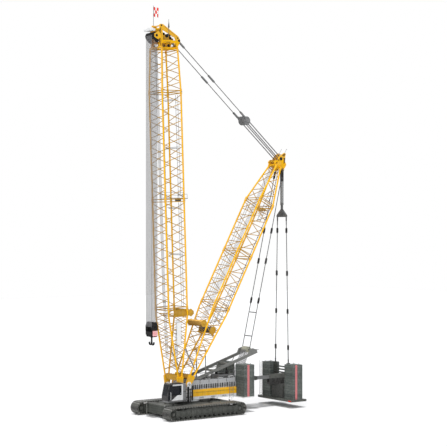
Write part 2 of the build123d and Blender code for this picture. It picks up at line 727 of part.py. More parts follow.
shell_knuckles = knuckles(HINGE_LEVELS, -1)
shell_pins = pins(HINGE_LEVELS, HINGE_PIN_RADIUS, 2 * HINGE_KNUCKLE)
door_levels = [level + HINGE_KNUCKLE for level in HINGE_LEVELS]
door_knuckles = knuckles(door_levels, 1)
door_bores = pins(door_levels, HINGE_PIN_RADIUS + RUNNING, HINGE_KNUCKLE)
with BuildPart() as cab_shell:
    with BuildSketch(Plane.XZ.offset(-CAB_Y)):
        with BuildLine():
            Polyline(*cab_outline(0), close=True)
        make_face()
    extrude(amount=CAB_WIDTH / 2, both=True)
    with BuildSketch(Plane.XZ.offset(-CAB_Y)):
        with BuildLine():
            Polyline(*cab_outline(CAB_WALL), close=True)
        make_face()
    extrude(amount=CAB_WIDTH / 2 - CAB_WALL, both=True, mode=Mode.SUBTRACT)
    with BuildSketch(Plane.XZ.offset(-CAB_LEFT)):  # doorway
        with Locations(((DOOR_REAR + DOOR_FRONT) / 2, (DOOR_BOTTOM + DOOR_TOP) / 2)):
            Rectangle(DOOR_FRONT - DOOR_REAR, DOOR_TOP - DOOR_BOTTOM)
    extrude(amount=CAB_WALL, mode=Mode.SUBTRACT)
    with BuildSketch(Plane.XZ.offset(-CAB_RIGHT)):  # right window
        with Locations(((DOOR_REAR + DOOR_FRONT) / 2, (WAIST + DOOR_TOP) / 2)):
            Rectangle(DOOR_FRONT - DOOR_REAR, DOOR_TOP - WAIST)
    extrude(amount=-CAB_WALL, mode=Mode.SUBTRACT)
    with BuildSketch(Plane.YZ.offset(CAB_FRONT)):  # windscreen
        with Locations((CAB_Y, (WAIST + DOOR_TOP) / 2)):
            Rectangle(CAB_WIDTH - 2 * WINDOW_FRAME, DOOR_TOP - WAIST)
    extrude(amount=-(WINDSCREEN_LEAN + 3 * CAB_WALL), mode=Mode.SUBTRACT)
    add(shell_knuckles)
    add(shell_pins)
save(cab_shell, "cab_shell")

SCREEN_SLOPE = WINDSCREEN_LEAN / (CAB_ROOF - WAIST)
with BuildPart() as cab_glass:
    with BuildSketch(Plane.XZ.offset(-CAB_Y)):
        with BuildLine():
            Polyline(
                (CAB_FRONT - CAB_WALL / 2, WAIST),
                (CAB_FRONT - CAB_WALL / 2 - (DOOR_TOP - WAIST) * SCREEN_SLOPE, DOOR_TOP),
                (CAB_FRONT - CAB_WALL / 2 - PANE - (DOOR_TOP - WAIST) * SCREEN_SLOPE, DOOR_TOP),
                (CAB_FRONT - CAB_WALL / 2 - PANE, WAIST),
                close=True,
            )
        make_face()
    extrude(amount=CAB_WIDTH / 2 - WINDOW_FRAME, both=True)
    with BuildSketch(Plane.XZ.offset(-CAB_RIGHT - (CAB_WALL + PANE) / 2)):
        with Locations(((DOOR_REAR + DOOR_FRONT) / 2, (WAIST + DOOR_TOP) / 2)):
            Rectangle(DOOR_FRONT - DOOR_REAR, DOOR_TOP - WAIST)
    extrude(amount=PANE)
save(cab_glass, "cab_glass")

with BuildPart() as cab_door:
    with BuildSketch(Plane.XZ.offset(-CAB_LEFT)):
        with Locations(((DOOR_REAR + DOOR_FRONT) / 2, (DOOR_BOTTOM + DOOR_TOP) / 2)):
            Rectangle(DOOR_FRONT - DOOR_REAR - 2 * DOOR_GAP, DOOR_TOP - DOOR_BOTTOM - 2 * DOOR_GAP)
        with Locations(((DOOR_REAR + DOOR_FRONT) / 2, (WAIST + DOOR_TOP) / 2)):
            Rectangle(
                DOOR_FRONT - DOOR_REAR - 2 * WINDOW_FRAME,
                DOOR_TOP - WAIST - 2 * WINDOW_FRAME,
                mode=Mode.SUBTRACT,
            )
    extrude(amount=CAB_WALL)
    add(door_knuckles)
    add(door_bores, mode=Mode.SUBTRACT)
save(cab_door, "cab_door")

with BuildPart() as cab_door_glass:
    with BuildSketch(Plane.XZ.offset(-CAB_LEFT + (CAB_WALL - PANE) / 2)):
        with Locations(((DOOR_REAR + DOOR_FRONT) / 2, (WAIST + DOOR_TOP) / 2)):
            Rectangle(
                DOOR_FRONT - DOOR_REAR - 2 * WINDOW_FRAME, DOOR_TOP - WAIST - 2 * WINDOW_FRAME
            )
    extrude(amount=PANE)
save(cab_door_glass, "cab_door_glass")

with BuildPart() as cab_seat:
    with BuildSketch(Plane.XZ.offset(-CAB_Y)):
        with BuildLine():
            Polyline(
                [(CAB_REAR + x, CAB_FLOOR + CAB_WALL + z) for x, z in SEAT_PROFILE],
                close=True,
            )
        make_face()
    extrude(amount=SEAT_WIDTH / 2, both=True)
save(cab_seat, "cab_seat")

with BuildPart() as cab_bracket:
    with BuildSketch(Plane.XY.offset(CAB_FLOOR - CAB_BRACKET)):
        with BuildLine():
            Polyline(
                (900, FRAME_HALF_WIDTH),
                (FRAME_FRONT, FRAME_HALF_WIDTH),
                (CAB_REAR, CAB_RIGHT),
                (CAB_FRONT - 2 * CAB_WALL, CAB_RIGHT),
                (CAB_FRONT - 2 * CAB_WALL, CAB_LEFT - 2 * CAB_WALL),
                (CAB_REAR, CAB_LEFT - 2 * CAB_WALL),
                (900, 1250),
                close=True,
            )
        make_face()
    extrude(amount=CAB_BRACKET)
save(cab_bracket, "cab_bracket")


# ---------------------------------------------------------------- lattice arms
def size_at(stations, s):
    """Half width and half depth of an arm at a distance along it."""
    for (s0, w0, d0), (s1, w1, d1) in zip(stations, stations[1:]):
        if s <= s1 + 1e-6:
            t = (s - s0) / (s1 - s0)
            return w0 + t * (w1 - w0), d0 + t * (d1 - d0)
    raise ValueError("past the last station")


CORNERS = ((1, 1), (-1, 1), (-1, -1), (1, -1))  # signs of u and v


def lattice(frame, stations, panels, foot=False):
    """Bars of one section: four chords, their collars and end frames, and zigzag lacing."""

    def at(corner, s, inset_u=0, inset_v=0):
        half_width, half_depth = size_at(stations, s)
        return point(
            frame, corner[0] * (half_depth - inset_u), corner[1] * (half_width - inset_v), s
        )

    first, last = stations[0][0], stations[-1][0]
    along = frame.z_dir * COLLAR_LENGTH
    bars = []
    for corner in CORNERS:
        for (s0, *_), (s1, *_) in zip(stations, stations[1:]):
            low = s0 + COLLAR_LENGTH / 2 * (s0 == first and not foot)
            high = s1 - COLLAR_LENGTH / 2 * (s1 == last)
            bars.append(tube(at(corner, low), at(corner, high), CHORD_RADIUS))
            if s1 < last:
                bars.append(ball(at(corner, s1), CHORD_RADIUS + 6))
        if not foot:
            bars.append(tube(at(corner, first), at(corner, first) + along, COLLAR_RADIUS))
        bars.append(tube(at(corner, last) - along, at(corner, last), COLLAR_RADIUS))
    levels = [last - COLLAR_LENGTH / 2]
    if not foot:
        levels.append(first + COLLAR_LENGTH / 2)
    start = first + COLLAR_LENGTH
    end = last - COLLAR_LENGTH
    for index, corner in enumerate(CORNERS):
        other = CORNERS[(index + 1) % 4]
        across_u = corner[0] != other[0]  # this face's lacing runs along u
        inset = {"inset_u": LACE_INSET} if across_u else {"inset_v": LACE_INSET}
        for s in levels:
            bars.append(tube(at(corner, s, **inset), at(other, s, **inset), END_BAR_RADIUS))
        low = start + (2 * FOOT_PLATE if across_u else FOOT_PLATE / 2) * foot
        count = panels - foot * (2 if across_u else 0)
        step = (end - low) / count
        for k in range(count):
            a, b = (corner, other) if k % 2 == 0 else (other, corner)
            bars.append(
                tube(
                    at(a, low + k * step + NODE_GAP, **inset),
                    at(b, low + (k + 1) * step - NODE_GAP, **inset),
                    LACE_RADIUS,
                )
            )
    return bars


def lattice_section(name, frame, stations, panels):
    with BuildPart() as section:
        add(lattice(frame, stations, panels))
    save(section, name)


def foot_section(name, frame, stations, panels, fittings=()):
    """Lowest section of an arm: the chords meet in two plates, each with the bore of its eye."""
    with BuildPart() as section:
        add([*lattice(frame, stations, panels, foot=True), *fittings])
        for side in SIDES.values():
            with BuildSketch(side_plane(frame, side * stations[0][1])):
                Circle(EYE_RADIUS)
                with BuildLine():
                    Polyline(
                        (-EYE_RADIUS, 0),
                        (EYE_RADIUS, 0),
                        (FOOT_HALF_DEPTH + 2 * CHORD_RADIUS, FOOT_PLATE),
                        (-FOOT_HALF_DEPTH - 2 * CHORD_RADIUS, FOOT_PLATE),
                        close=True,
                    )
                make_face()
            extrude(amount=EYE_THICKNESS / 2, both=True)
            with BuildSketch(side_plane(frame, side * stations[0][1])):
                Circle(PIN_RADIUS + RUNNING)
            extrude(amount=EYE_THICKNESS, both=True, mode=Mode.SUBTRACT)
    save(section, name)


FOOT_START = FOOT_PLATE - 100
BOOM_FOOT_STATIONS = [
    (FOOT_START, BOOM_HALF_WIDTH, FOOT_HALF_DEPTH),
    (BOOM_FOOT_TAPER, BOOM_HALF_WIDTH, BOOM_HALF_DEPTH),
    (BOOM_FOOT_LENGTH, BOOM_HALF_WIDTH, BOOM_HALF_DEPTH),
]
foot_section("boom_foot_section", BOOM, BOOM_FOOT_STATIONS, 8)

for number in (1, 2):
    base = BOOM_FOOT_LENGTH + (number - 1) * BOOM_INSERT
    lattice_section(
        f"boom_section_{number}",
        BOOM,
        [
            (base, BOOM_HALF_WIDTH, BOOM_HALF_DEPTH),
            (base + BOOM_INSERT, BOOM_HALF_WIDTH, BOOM_HALF_DEPTH),
        ],
        12,
    )

lattice_section(
    "boom_top_section",
    BOOM,
    [
        (BOOM_TOP_START, BOOM_HALF_WIDTH, BOOM_HALF_DEPTH),
        (BOOM_TOP_END, BOOM_TOP_HALF_WIDTH, BOOM_TOP_HALF_DEPTH),
    ],
    5,
)

DERRICK_FOOT_STATIONS = [
    (FOOT_START, DERRICK_HALF_WIDTH, FOOT_HALF_DEPTH),
    (DERRICK_FOOT_TAPER, DERRICK_HALF_WIDTH, DERRICK_HALF_DEPTH),
    (DERRICK_FOOT_LENGTH, DERRICK_HALF_WIDTH, DERRICK_HALF_DEPTH),
]
# Bar behind the derrick's chords, on which the backstop rods press.
_, bar_depth = size_at(DERRICK_FOOT_STATIONS, BACKSTOP_BAR_S)
BACKSTOP_BAR = (-bar_depth - CHORD_RADIUS, BACKSTOP_BAR_S)
backstop_bar = shaft(DERRICK, BACKSTOP_BAR, DERRICK_HALF_WIDTH, BACKSTOP_RADIUS)
foot_section("derrick_foot_section", DERRICK, DERRICK_FOOT_STATIONS, 9, [backstop_bar])
for number in (1, 2):
    base = DERRICK_FOOT_LENGTH + (number - 1) * DERRICK_INSERT
    lattice_section(
        f"derrick_section_{number}",
        DERRICK,
        [
            (base, DERRICK_HALF_WIDTH, DERRICK_HALF_DEPTH),
            (base + DERRICK_INSERT, DERRICK_HALF_WIDTH, DERRICK_HALF_DEPTH),
        ],
        7,
    )
DERRICK_TOP_START = DERRICK_FOOT_LENGTH + 2 * DERRICK_INSERT
DERRICK_TOP_END = DERRICK_TOP_START + DERRICK_TOP_SECTION
lattice_section(
    "derrick_top_section",
    DERRICK,
    [
        (DERRICK_TOP_START, DERRICK_HALF_WIDTH, DERRICK_HALF_DEPTH),
        (DERRICK_TOP_END, DERRICK_TOP_HALF_WIDTH, DERRICK_TOP_HALF_DEPTH),
    ],
    4,
)


# ---------------------------------------------------------------- heads and sheaves
HEAD_SHEAVE_U = (HOIST_X - BOOM_PIVOT[0] - HEAD_SHEAVE_S * cos(radians(BOOM_ANGLE))) / sin(
    radians(BOOM_ANGLE)
)
HEAD_SHEAVE = (HEAD_SHEAVE_U, HEAD_SHEAVE_S)
boom_cheeks = plates(
    BOOM,
    (-HEAD_CHEEK_Y, HEAD_CHEEK_Y),
    HEAD_PLATE,
    [
        (-BOOM_TOP_HALF_DEPTH - 60, BOOM_TOP_END),
        (BOOM_TOP_HALF_DEPTH + 60, BOOM_TOP_END),
        (BOOM_TOP_HALF_DEPTH + 60, HEAD_SHEAVE_S - 330),
        (HEAD_SHEAVE_U + 110, HEAD_SHEAVE_S - 120),
        (HEAD_SHEAVE_U + 110, HEAD_SHEAVE_S + 120),
        (BOOM_TOP_HALF_DEPTH + 60, HEAD_SHEAVE_S + 330),
        (BOOM_TOP_HALF_DEPTH - 60, HEAD_SHEAVE_S + 860),
        (BOOM_TOP_HALF_DEPTH - 300, HEAD_SHEAVE_S + 860),
        (BOOM_LUG[0] + 60, BOOM_LUG[1] + 330),
        (BOOM_LUG[0] - 90, BOOM_LUG[1] + 90),
        (BOOM_LUG[0] - 90, BOOM_LUG[1] - 110),
    ],
)
# Two openings in each cheek leave a post in front, a brace over the lug and a beam between them.
boom_head_windows = [
    plates(
        BOOM,
        (-HEAD_CHEEK_Y, HEAD_CHEEK_Y),
        2 * HEAD_PLATE,
        [(u, BOOM_TOP_END + s) for u, s in outline],
    )
    for outline in HEAD_WINDOWS
]
with BuildPart() as boom_head:
    add(boom_cheeks)
    add(boom_head_windows, mode=Mode.SUBTRACT)
    add(
        [
            shaft(BOOM, (u, BOOM_TOP_END + COLLAR_RADIUS + 8), BOOM_TOP_HALF_WIDTH, COLLAR_RADIUS)
            for u in (BOOM_TOP_HALF_DEPTH, -BOOM_TOP_HALF_DEPTH)
        ]
    )
    for place in HEAD_CROSS_TUBES:
        add(shaft(BOOM, (place[0], BOOM_TOP_END + place[1]), HEAD_CHEEK_Y, HEAD_CROSS_RADIUS))
    add(shaft(BOOM, HEAD_SHEAVE, HEAD_CHEEK_Y, HEAD_AXLE_RADIUS))
    add(shaft(BOOM, BOOM_LUG, HEAD_CHEEK_Y, LUG_PIN_RADIUS))
save(boom_head, "boom_head")

boom_sheave_discs = discs(BOOM, HEAD_SHEAVE, HOIST_SHEAVE_ROWS, HEAD_SHEAVE_RADIUS, SHEAVE_THICKNESS)
boom_sheave_bores = discs(
    BOOM, HEAD_SHEAVE, HOIST_SHEAVE_ROWS, HEAD_AXLE_RADIUS + RUNNING, 2 * SHEAVE_THICKNESS
)
with BuildPart() as boom_head_sheaves:
    add(boom_sheave_discs)
    add(boom_sheave_bores, mode=Mode.SUBTRACT)
save(boom_head_sheaves, "boom_head_sheaves")

MAST_Y = HEAD_CHEEK_Y + HEAD_PLATE / 2 + MAST_RADIUS + SEAT  # the masts stand on the cheeks' sides
boom_end = point(BOOM, 0, 0, BOOM_TOP_END)
flag_foot = (boom_end.X + FLAG_MAST[0], -MAST_Y, boom_end.Z + FLAG_MAST[1])
flag_top = (flag_foot[0], -MAST_Y, flag_foot[2] + FLAG_MAST_HEIGHT)
lamp_foot = (boom_end.X + LAMP_MAST[0], MAST_Y, boom_end.Z + LAMP_MAST[1])
lamp_top = (lamp_foot[0], MAST_Y, lamp_foot[2] + LAMP_MAST_HEIGHT)
with BuildPart() as head_masts:
    add(
        [
            tube(flag_foot, flag_top, MAST_RADIUS),
            tube(lamp_foot, lamp_top, MAST_RADIUS),
            ball((lamp_top[0], MAST_Y, lamp_top[2] - 350), 3 * MAST_RADIUS),
        ]
    )
save(head_masts, "head_masts")
with BuildPart() as warning_flag:
    with BuildSketch(Plane.XZ.offset(MAST_Y)):
        with Locations(
            (
                flag_top[0] - MAST_RADIUS - SEAT - FLAG_SIZE[0] / 2,
                flag_top[2] - FLAG_SIZE[1] / 2 - 100,
            )
        ):
            Rectangle(*FLAG_SIZE)
    extrude(amount=FLAG_THICKNESS / 2, both=True)
save(warning_flag, "warning_flag")


def winch(frame, centre, stations, drum_radius, half_width):
    """Rope drum between two cheeks that stand on the outside of the chords, in front or behind."""
    side = 1 if centre[0] > 0 else -1
    foot = 0.7 * drum_radius

    def chord_face(s):
        return side * (size_at(stations, s)[1] + 1.01 * CHORD_RADIUS + SEAT)

    cheeks = plates(
        frame,
        (-half_width, half_width),
        DRUM_CHEEK,
        [
            (chord_face(centre[1] - foot), centre[1] - foot),
            (centre[0], centre[1] - 1.4 * drum_radius),
            (centre[0] + side * 1.15 * drum_radius, centre[1] - 0.5 * drum_radius),
            (centre[0] + side * 1.15 * drum_radius, centre[1] + 0.5 * drum_radius),
            (centre[0], centre[1] + 1.4 * drum_radius),
            (chord_face(centre[1] + foot), centre[1] + foot),
        ],
    )
    with BuildPart() as unit:
        add(cheeks)
        with BuildSketch(side_plane(frame, 0)):
            with Locations(centre):
                Circle(drum_radius)
        extrude(amount=half_width, both=True)
    return unit.part


boom_winch_body = winch(
    BOOM, (BOOM_WINCH_U, BOOM_WINCH_S), BOOM_FOOT_STATIONS, WINCH_RADIUS, BOOM_HALF_WIDTH
)
with BuildPart() as boom_winch:
    add(boom_winch_body)
save(boom_winch, "boom_winch")
derrick_winch_body = winch(
    DERRICK,
    (DERRICK_WINCH_U, DERRICK_WINCH_S),
    DERRICK_FOOT_STATIONS,
    WINCH_RADIUS,
    DERRICK_HALF_WIDTH,
)
with BuildPart() as derrick_winch:
    add(derrick_winch_body)
save(derrick_winch, "derrick_winch")

with BuildPart() as boom_platform:
    # It lies on the two end bars of the upper section.
    platform_s = (
        BOOM_FOOT_LENGTH + BOOM_INSERT + COLLAR_LENGTH / 2 + END_BAR_RADIUS + SEAT
    )
    with BuildSketch(
        Plane(origin=point(BOOM, 0, 0, platform_s), x_dir=BOOM.x_dir, z_dir=BOOM.z_dir)
    ):
        with Locations((0, BOOM_HALF_WIDTH - COLLAR_RADIUS - PLATFORM_GAP - PLATFORM_WIDTH / 2)):
            Rectangle(2 * (BOOM_HALF_DEPTH + END_BAR_RADIUS), PLATFORM_WIDTH)
    extrude(amount=PLATFORM_THICKNESS)
save(boom_platform, "boom_platform")

with BuildPart() as boom_sign:
    with BuildSketch(side_plane(BOOM, BOOM_HALF_WIDTH + LACE_RADIUS + SEAT + SIGN_THICKNESS / 2)):
        with Locations((SIGN_U, SIGN_S)):
            Rectangle(*SIGN_SIZE)
    extrude(amount=SIGN_THICKNESS / 2, both=True)
save(boom_sign, "boom_sign")

with BuildPart() as boom_backstops:
    for side in SIDES.values():
        v = side * BOOM_BACKSTOP_Y
        _, depth = size_at(BOOM_FOOT_STATIONS, BOOM_BACKSTOP_S)
        top = point(BOOM, -depth, v, BOOM_BACKSTOP_S)
        bottom = Vector(BOOM_BACKSTOP_END[0], v, BOOM_BACKSTOP_END[1])
        inner = point(BOOM, -depth, side * (BOOM_HALF_WIDTH + CHORD_RADIUS + SEAT), BOOM_BACKSTOP_S)
        outer = point(BOOM, -depth, side * (BOOM_BACKSTOP_Y + BACKSTOP_RADIUS), BOOM_BACKSTOP_S)
        add([tube(top, bottom, BACKSTOP_RADIUS), tube(inner, outer, BACKSTOP_RADIUS * 1.3)])
save(boom_backstops, "boom_backstops")


# ---------------------------------------------------------------- hoist
with BuildPart() as hoist_ropes:
    head_z = point(BOOM, HEAD_SHEAVE_U, 0, HEAD_SHEAVE_S).Z
    fall_x = HEAD_SHEAVE_RADIUS + HOIST_ROPE_RADIUS + SEAT
    add(
        [
            tube((HOIST_X + fall, v, BLOCK_SHEAVE_Z), (HOIST_X + fall, v, head_z), HOIST_ROPE_RADIUS)
            for fall in (fall_x, -fall_x)
            for v in HOIST_SHEAVE_ROWS
        ]
    )
save(hoist_ropes, "hoist_ropes")

HOOK_LINE = arm_frame((HOIST_X, 0), 90)
block_cheeks = plates(
    HOOK_LINE,
    (-BLOCK_CHEEK_Y, -BLOCK_INNER_Y, BLOCK_INNER_Y, BLOCK_CHEEK_Y),
    BLOCK_CHEEK,
    [
        (-BLOCK_HALF_LENGTH, BLOCK_SHEAVE_Z + BLOCK_SHOULDERS[0][0]),
        (-BLOCK_HALF_LENGTH, BLOCK_SHEAVE_Z + BLOCK_SHOULDERS[0][1]),
        (-BLOCK_SHOULDERS[1][0], BLOCK_TOP),
        (BLOCK_SHOULDERS[1][0], BLOCK_TOP),
        (BLOCK_HALF_LENGTH, BLOCK_SHEAVE_Z + BLOCK_SHOULDERS[0][1]),
        (BLOCK_HALF_LENGTH, BLOCK_SHEAVE_Z + BLOCK_SHOULDERS[0][0]),
        (BLOCK_SHOULDERS[1][1], BLOCK_BOTTOM),
        (-BLOCK_SHOULDERS[1][1], BLOCK_BOTTOM),
    ],
)
block_sheaves = discs(
    HOOK_LINE, (0, BLOCK_SHEAVE_Z), HOIST_SHEAVE_ROWS, HEAD_SHEAVE_RADIUS, SHEAVE_THICKNESS
)
with BuildPart() as hook_block:
    add(block_cheeks)
    add(block_sheaves)
    add(shaft(HOOK_LINE, (0, BLOCK_SHEAVE_Z), BLOCK_CHEEK_Y, HEAD_AXLE_RADIUS))
    with BuildSketch(Plane.XY.offset(BLOCK_BOTTOM)):
        with Locations((HOIST_X, 0)):
            Rectangle(CROSSHEAD_LENGTH, 2 * BLOCK_CHEEK_Y)
    extrude(amount=CROSSHEAD_HEIGHT)
    with BuildSketch(Plane.XY.offset(BLOCK_BOTTOM)):
        with Locations((HOIST_X, 0)):
            Circle(HOOK_SHANK_RADIUS + RUNNING)
    extrude(amount=CROSSHEAD_HEIGHT, mode=Mode.SUBTRACT)
save(hook_block, "hook_block")

with BuildPart() as hook:
    bowl_z = HOOK_TIP + HOOK_BOWL + HOOK_BODY
    with BuildSketch(Plane.YZ.offset(HOIST_X)):
        with Locations((HOOK_BOWL + HOOK_BODY / 2, bowl_z), (-HOOK_BOWL - HOOK_BODY / 2, bowl_z)):
            Circle(HOOK_BOWL + HOOK_BODY)
        with Locations((HOOK_BOWL + HOOK_BODY / 2, bowl_z), (-HOOK_BOWL - HOOK_BODY / 2, bowl_z)):
            Circle(HOOK_BOWL, mode=Mode.SUBTRACT)
        with Locations((0, bowl_z + HOOK_BOWL + HOOK_BODY)):
            Rectangle(4 * (HOOK_BOWL + HOOK_BODY), 2 * HOOK_BOWL + HOOK_BODY, mode=Mode.SUBTRACT)
        with Locations((0, (bowl_z + BLOCK_BOTTOM) / 2)):
            Rectangle(HOOK_BODY, BLOCK_BOTTOM - bowl_z)
    extrude(amount=HOOK_BODY / 2, both=True)
    with BuildSketch(Plane.XY.offset(BLOCK_BOTTOM - HOOK_NECK)):
        with Locations((HOIST_X, 0)):
            Circle(HOOK_SHANK_RADIUS)
    extrude(amount=HOOK_NECK + CROSSHEAD_HEIGHT + HOOK_NUT / 2)
    with BuildSketch(Plane.XY.offset(BLOCK_BOTTOM + CROSSHEAD_HEIGHT + SEAT)):
        with Locations((HOIST_X, 0)):
            Circle(HOOK_NUT_RADIUS)
    extrude(amount=HOOK_NUT)
    with BuildSketch(Plane.XY.offset(BLOCK_BOTTOM - HOOK_NECK)):
        with Locations((HOIST_X, 0)):
            Circle(HOOK_NUT_RADIUS)
    extrude(amount=HOOK_NECK - SEAT)
save(hook, "hook")


# ---------------------------------------------------------------- luffing gear
def strand_bars(frame, v, length, links):
    """One stay: a thin bar with thick links at (start, end) shares of its length."""
    bars = [tube(point(frame, 0, v, 0), point(frame, 0, v, length), PENDANT_RADIUS)]
    bars += [
        tube(point(frame, 0, v, a * length), point(frame, 0, v, b * length), LINK_RADIUS)
        for a, b in links
    ]
    return bars


def stay(frame, length, links, ys):
    """Pair of stays with an eye at the start of each, bored for its lug pin."""
    eyes = discs(frame, (0, 0), ys, LUG_EYE_RADIUS, 2 * LINK_RADIUS)
    bores = discs(frame, (0, 0), ys, LUG_PIN_RADIUS + RUNNING, 4 * LINK_RADIUS)
    with BuildPart() as pair:
        for v in ys:
            add(strand_bars(frame, v, length, links))
        add(eyes)
        add(bores, mode=Mode.SUBTRACT)
    return pair.part


PENDANT_YS = (-PENDANT_Y, PENDANT_Y)
boom_pendant_pair = stay(
    LUFFING, PENDANT_LENGTH - LUFF_SHEAVE_RADIUS, ((0.01, 0.09), (0.44, 0.53), (0.92, 1.0)), PENDANT_YS
)
with BuildPart() as boom_pendants:
    add(boom_pendant_pair)
save(boom_pendants, "boom_pendants")

block_discs = discs(
    LUFFING, (0, PENDANT_LENGTH), (-LUFF_SHEAVE_Y, LUFF_SHEAVE_Y), LUFF_SHEAVE_RADIUS, LUFF_SHEAVE_WIDTH
)
block_links = plates(
    LUFFING,
    PENDANT_YS,
    LUG_PLATE,
    [
        (-70, PENDANT_LENGTH - LUFF_SHEAVE_RADIUS),
        (70, PENDANT_LENGTH - LUFF_SHEAVE_RADIUS),
        (150, PENDANT_LENGTH),
        (60, PENDANT_LENGTH + 150),
        (-60, PENDANT_LENGTH + 150),
        (-150, PENDANT_LENGTH),
    ],
)
with BuildPart() as floating_block:
    add(block_discs)
    add(block_links)
    add(shaft(LUFFING, (0, PENDANT_LENGTH), PENDANT_Y + LUG_PLATE / 2, 70))
save(floating_block, "floating_block")

with BuildPart() as luffing_ropes:
    spread = LUFF_SHEAVE_WIDTH / LUFF_ROPES
    reach = LUFF_SHEAVE_RADIUS + LUFF_ROPE_RADIUS + SEAT
    add(
        [
            tube(
                point(LUFFING, u * reach, side * LUFF_SHEAVE_Y + (k - 1.5) * spread, PENDANT_LENGTH),
                point(
                    LUFFING,
                    u * (DERRICK_SHEAVE_RADIUS + LUFF_ROPE_RADIUS + SEAT),
                    side * LUFF_SHEAVE_Y + (k - 1.5) * spread,
                    LUFF_LENGTH,
                ),
                LUFF_ROPE_RADIUS,
            )
            for u in (1, -1)
            for side in SIDES.values()
            for k in range(LUFF_ROPES)
        ]
    )
save(luffing_ropes, "luffing_ropes")


# ---------------------------------------------------------------- derrick head
hanger = DERRICK.to_local_coords(Vector(BALLAST_X, 0, SUSPENSION_Z))
HANGER = (hanger.X, hanger.Z)
derrick_cheeks = plates(
    DERRICK,
    (-DERRICK_CHEEK_Y, DERRICK_CHEEK_Y),
    HEAD_PLATE,
    [
        (-DERRICK_TOP_HALF_DEPTH - 60, DERRICK_TOP_END),
        (DERRICK_TOP_HALF_DEPTH + 60, DERRICK_TOP_END),
        (520, DERRICK_TOP_END + 200),
        (470, DERRICK_TOP_END + 390),
        (260, DERRICK_TOP_END + 460),
        (200, DERRICK_SHEAVE[1] + 220),
        (-20, DERRICK_SHEAVE[1] + 580),
        (-200, DERRICK_SHEAVE[1] + 620),
        (-270, DERRICK_SHEAVE[1] + 360),
        (-430, DERRICK_SHEAVE[1] + 20),
        (HANGER[0] - 110, HANGER[1] + 80),
        (HANGER[0] - 110, HANGER[1] - 90),
        (PENDANT_LUG[0] - 110, PENDANT_LUG[1] + 60),
        (PENDANT_LUG[0] - 100, PENDANT_LUG[1] - 60),
        (PENDANT_LUG[0] + 60, PENDANT_LUG[1] - 110),
    ],
)
derrick_sheave_discs = discs(
    DERRICK, DERRICK_SHEAVE, (-LUFF_SHEAVE_Y, LUFF_SHEAVE_Y), DERRICK_SHEAVE_RADIUS, LUFF_SHEAVE_WIDTH
)
with BuildPart() as derrick_head:
    add(derrick_cheeks)
    for u in (DERRICK_TOP_HALF_DEPTH, -DERRICK_TOP_HALF_DEPTH):
        add(
            shaft(
                DERRICK,
                (u, DERRICK_TOP_END + COLLAR_RADIUS + 8),
                DERRICK_TOP_HALF_WIDTH + CHORD_RADIUS,
                COLLAR_RADIUS,
            )
        )
    add(shaft(DERRICK, DERRICK_SHEAVE, DERRICK_CHEEK_Y, HEAD_AXLE_RADIUS))
    add(derrick_sheave_discs)
    add(shaft(DERRICK, PENDANT_LUG, REAR_PENDANT_Y + LINK_RADIUS + 10, LUG_PIN_RADIUS))
    add(shaft(DERRICK, HANGER, DERRICK_CHEEK_Y, LUG_PIN_RADIUS))
save(derrick_head, "derrick_head")


# ---------------------------------------------------------------- gantry that holds the derrick
gantry_lug = GANTRY.to_local_coords(Vector(GANTRY_LUG[0], 0, GANTRY_LUG[1]))
GANTRY_LUG_US = (gantry_lug.X, gantry_lug.Z)
GANTRY_PULLEY = (GANTRY_LUG_US[0] - GANTRY_AXLE_RADIUS, GANTRY_LUG_US[1])
gantry_beams = plates(
    GANTRY,
    (-GANTRY_Y, GANTRY_Y),
    GANTRY_WIDTH,
    [
        (-GANTRY_DEPTH / 2, 0),
        (GANTRY_DEPTH / 2, 0),
        (GANTRY_DEPTH / 2, GANTRY_LENGTH),
        (-GANTRY_DEPTH / 2, GANTRY_LENGTH),
    ],
)
gantry_eyes = discs(GANTRY, (0, 0), (-GANTRY_Y, GANTRY_Y), GANTRY_DEPTH / 2, GANTRY_WIDTH)
gantry_bores = discs(
    GANTRY, (0, 0), (-GANTRY_Y, GANTRY_Y), GANTRY_PIN_RADIUS + RUNNING, 2 * GANTRY_WIDTH
)
gantry_horns = plates(
    GANTRY,
    (-GANTRY_Y, GANTRY_Y),
    GANTRY_WIDTH,
    [
        (0, GANTRY_LUG_US[1] - 500),
        (0, GANTRY_LENGTH),
        (GANTRY_LUG_US[0] + 20, GANTRY_LUG_US[1] + 160),
        (GANTRY_LUG_US[0] + 20, GANTRY_LUG_US[1] - 160),
    ],
)
with BuildPart() as gantry:
    add(gantry_beams)
    add(gantry_eyes)
    add(gantry_horns)
    add([shaft(GANTRY, (0, s), GANTRY_Y, GANTRY_CROSS_RADIUS) for s in GANTRY_CROSS_BARS])
    add(shaft(GANTRY, GANTRY_PULLEY, GANTRY_Y, GANTRY_AXLE_RADIUS))
    with BuildSketch(Plane.XY.offset(GANTRY_LUG[1] + GANTRY_PLATFORM[1])):
        with Locations((GANTRY_LUG[0] + GANTRY_PLATFORM[0], 0)):
            Rectangle(GANTRY_PLATFORM_LENGTH, 2 * GANTRY_Y)
    extrude(amount=PLATFORM_THICKNESS)
    add(gantry_bores, mode=Mode.SUBTRACT)
save(gantry, "gantry")

gantry_pulley_discs = discs(
    GANTRY, GANTRY_PULLEY, (0,), GANTRY_PULLEY_RADIUS, GANTRY_PULLEY_WIDTH
)
gantry_pulley_bores = discs(
    GANTRY, GANTRY_PULLEY, (0,), GANTRY_AXLE_RADIUS + RUNNING, 2 * GANTRY_PULLEY_WIDTH
)
with BuildPart() as gantry_pulleys:
    add(gantry_pulley_discs)
    add(gantry_pulley_bores, mode=Mode.SUBTRACT)
save(gantry_pulleys, "gantry_pulleys")


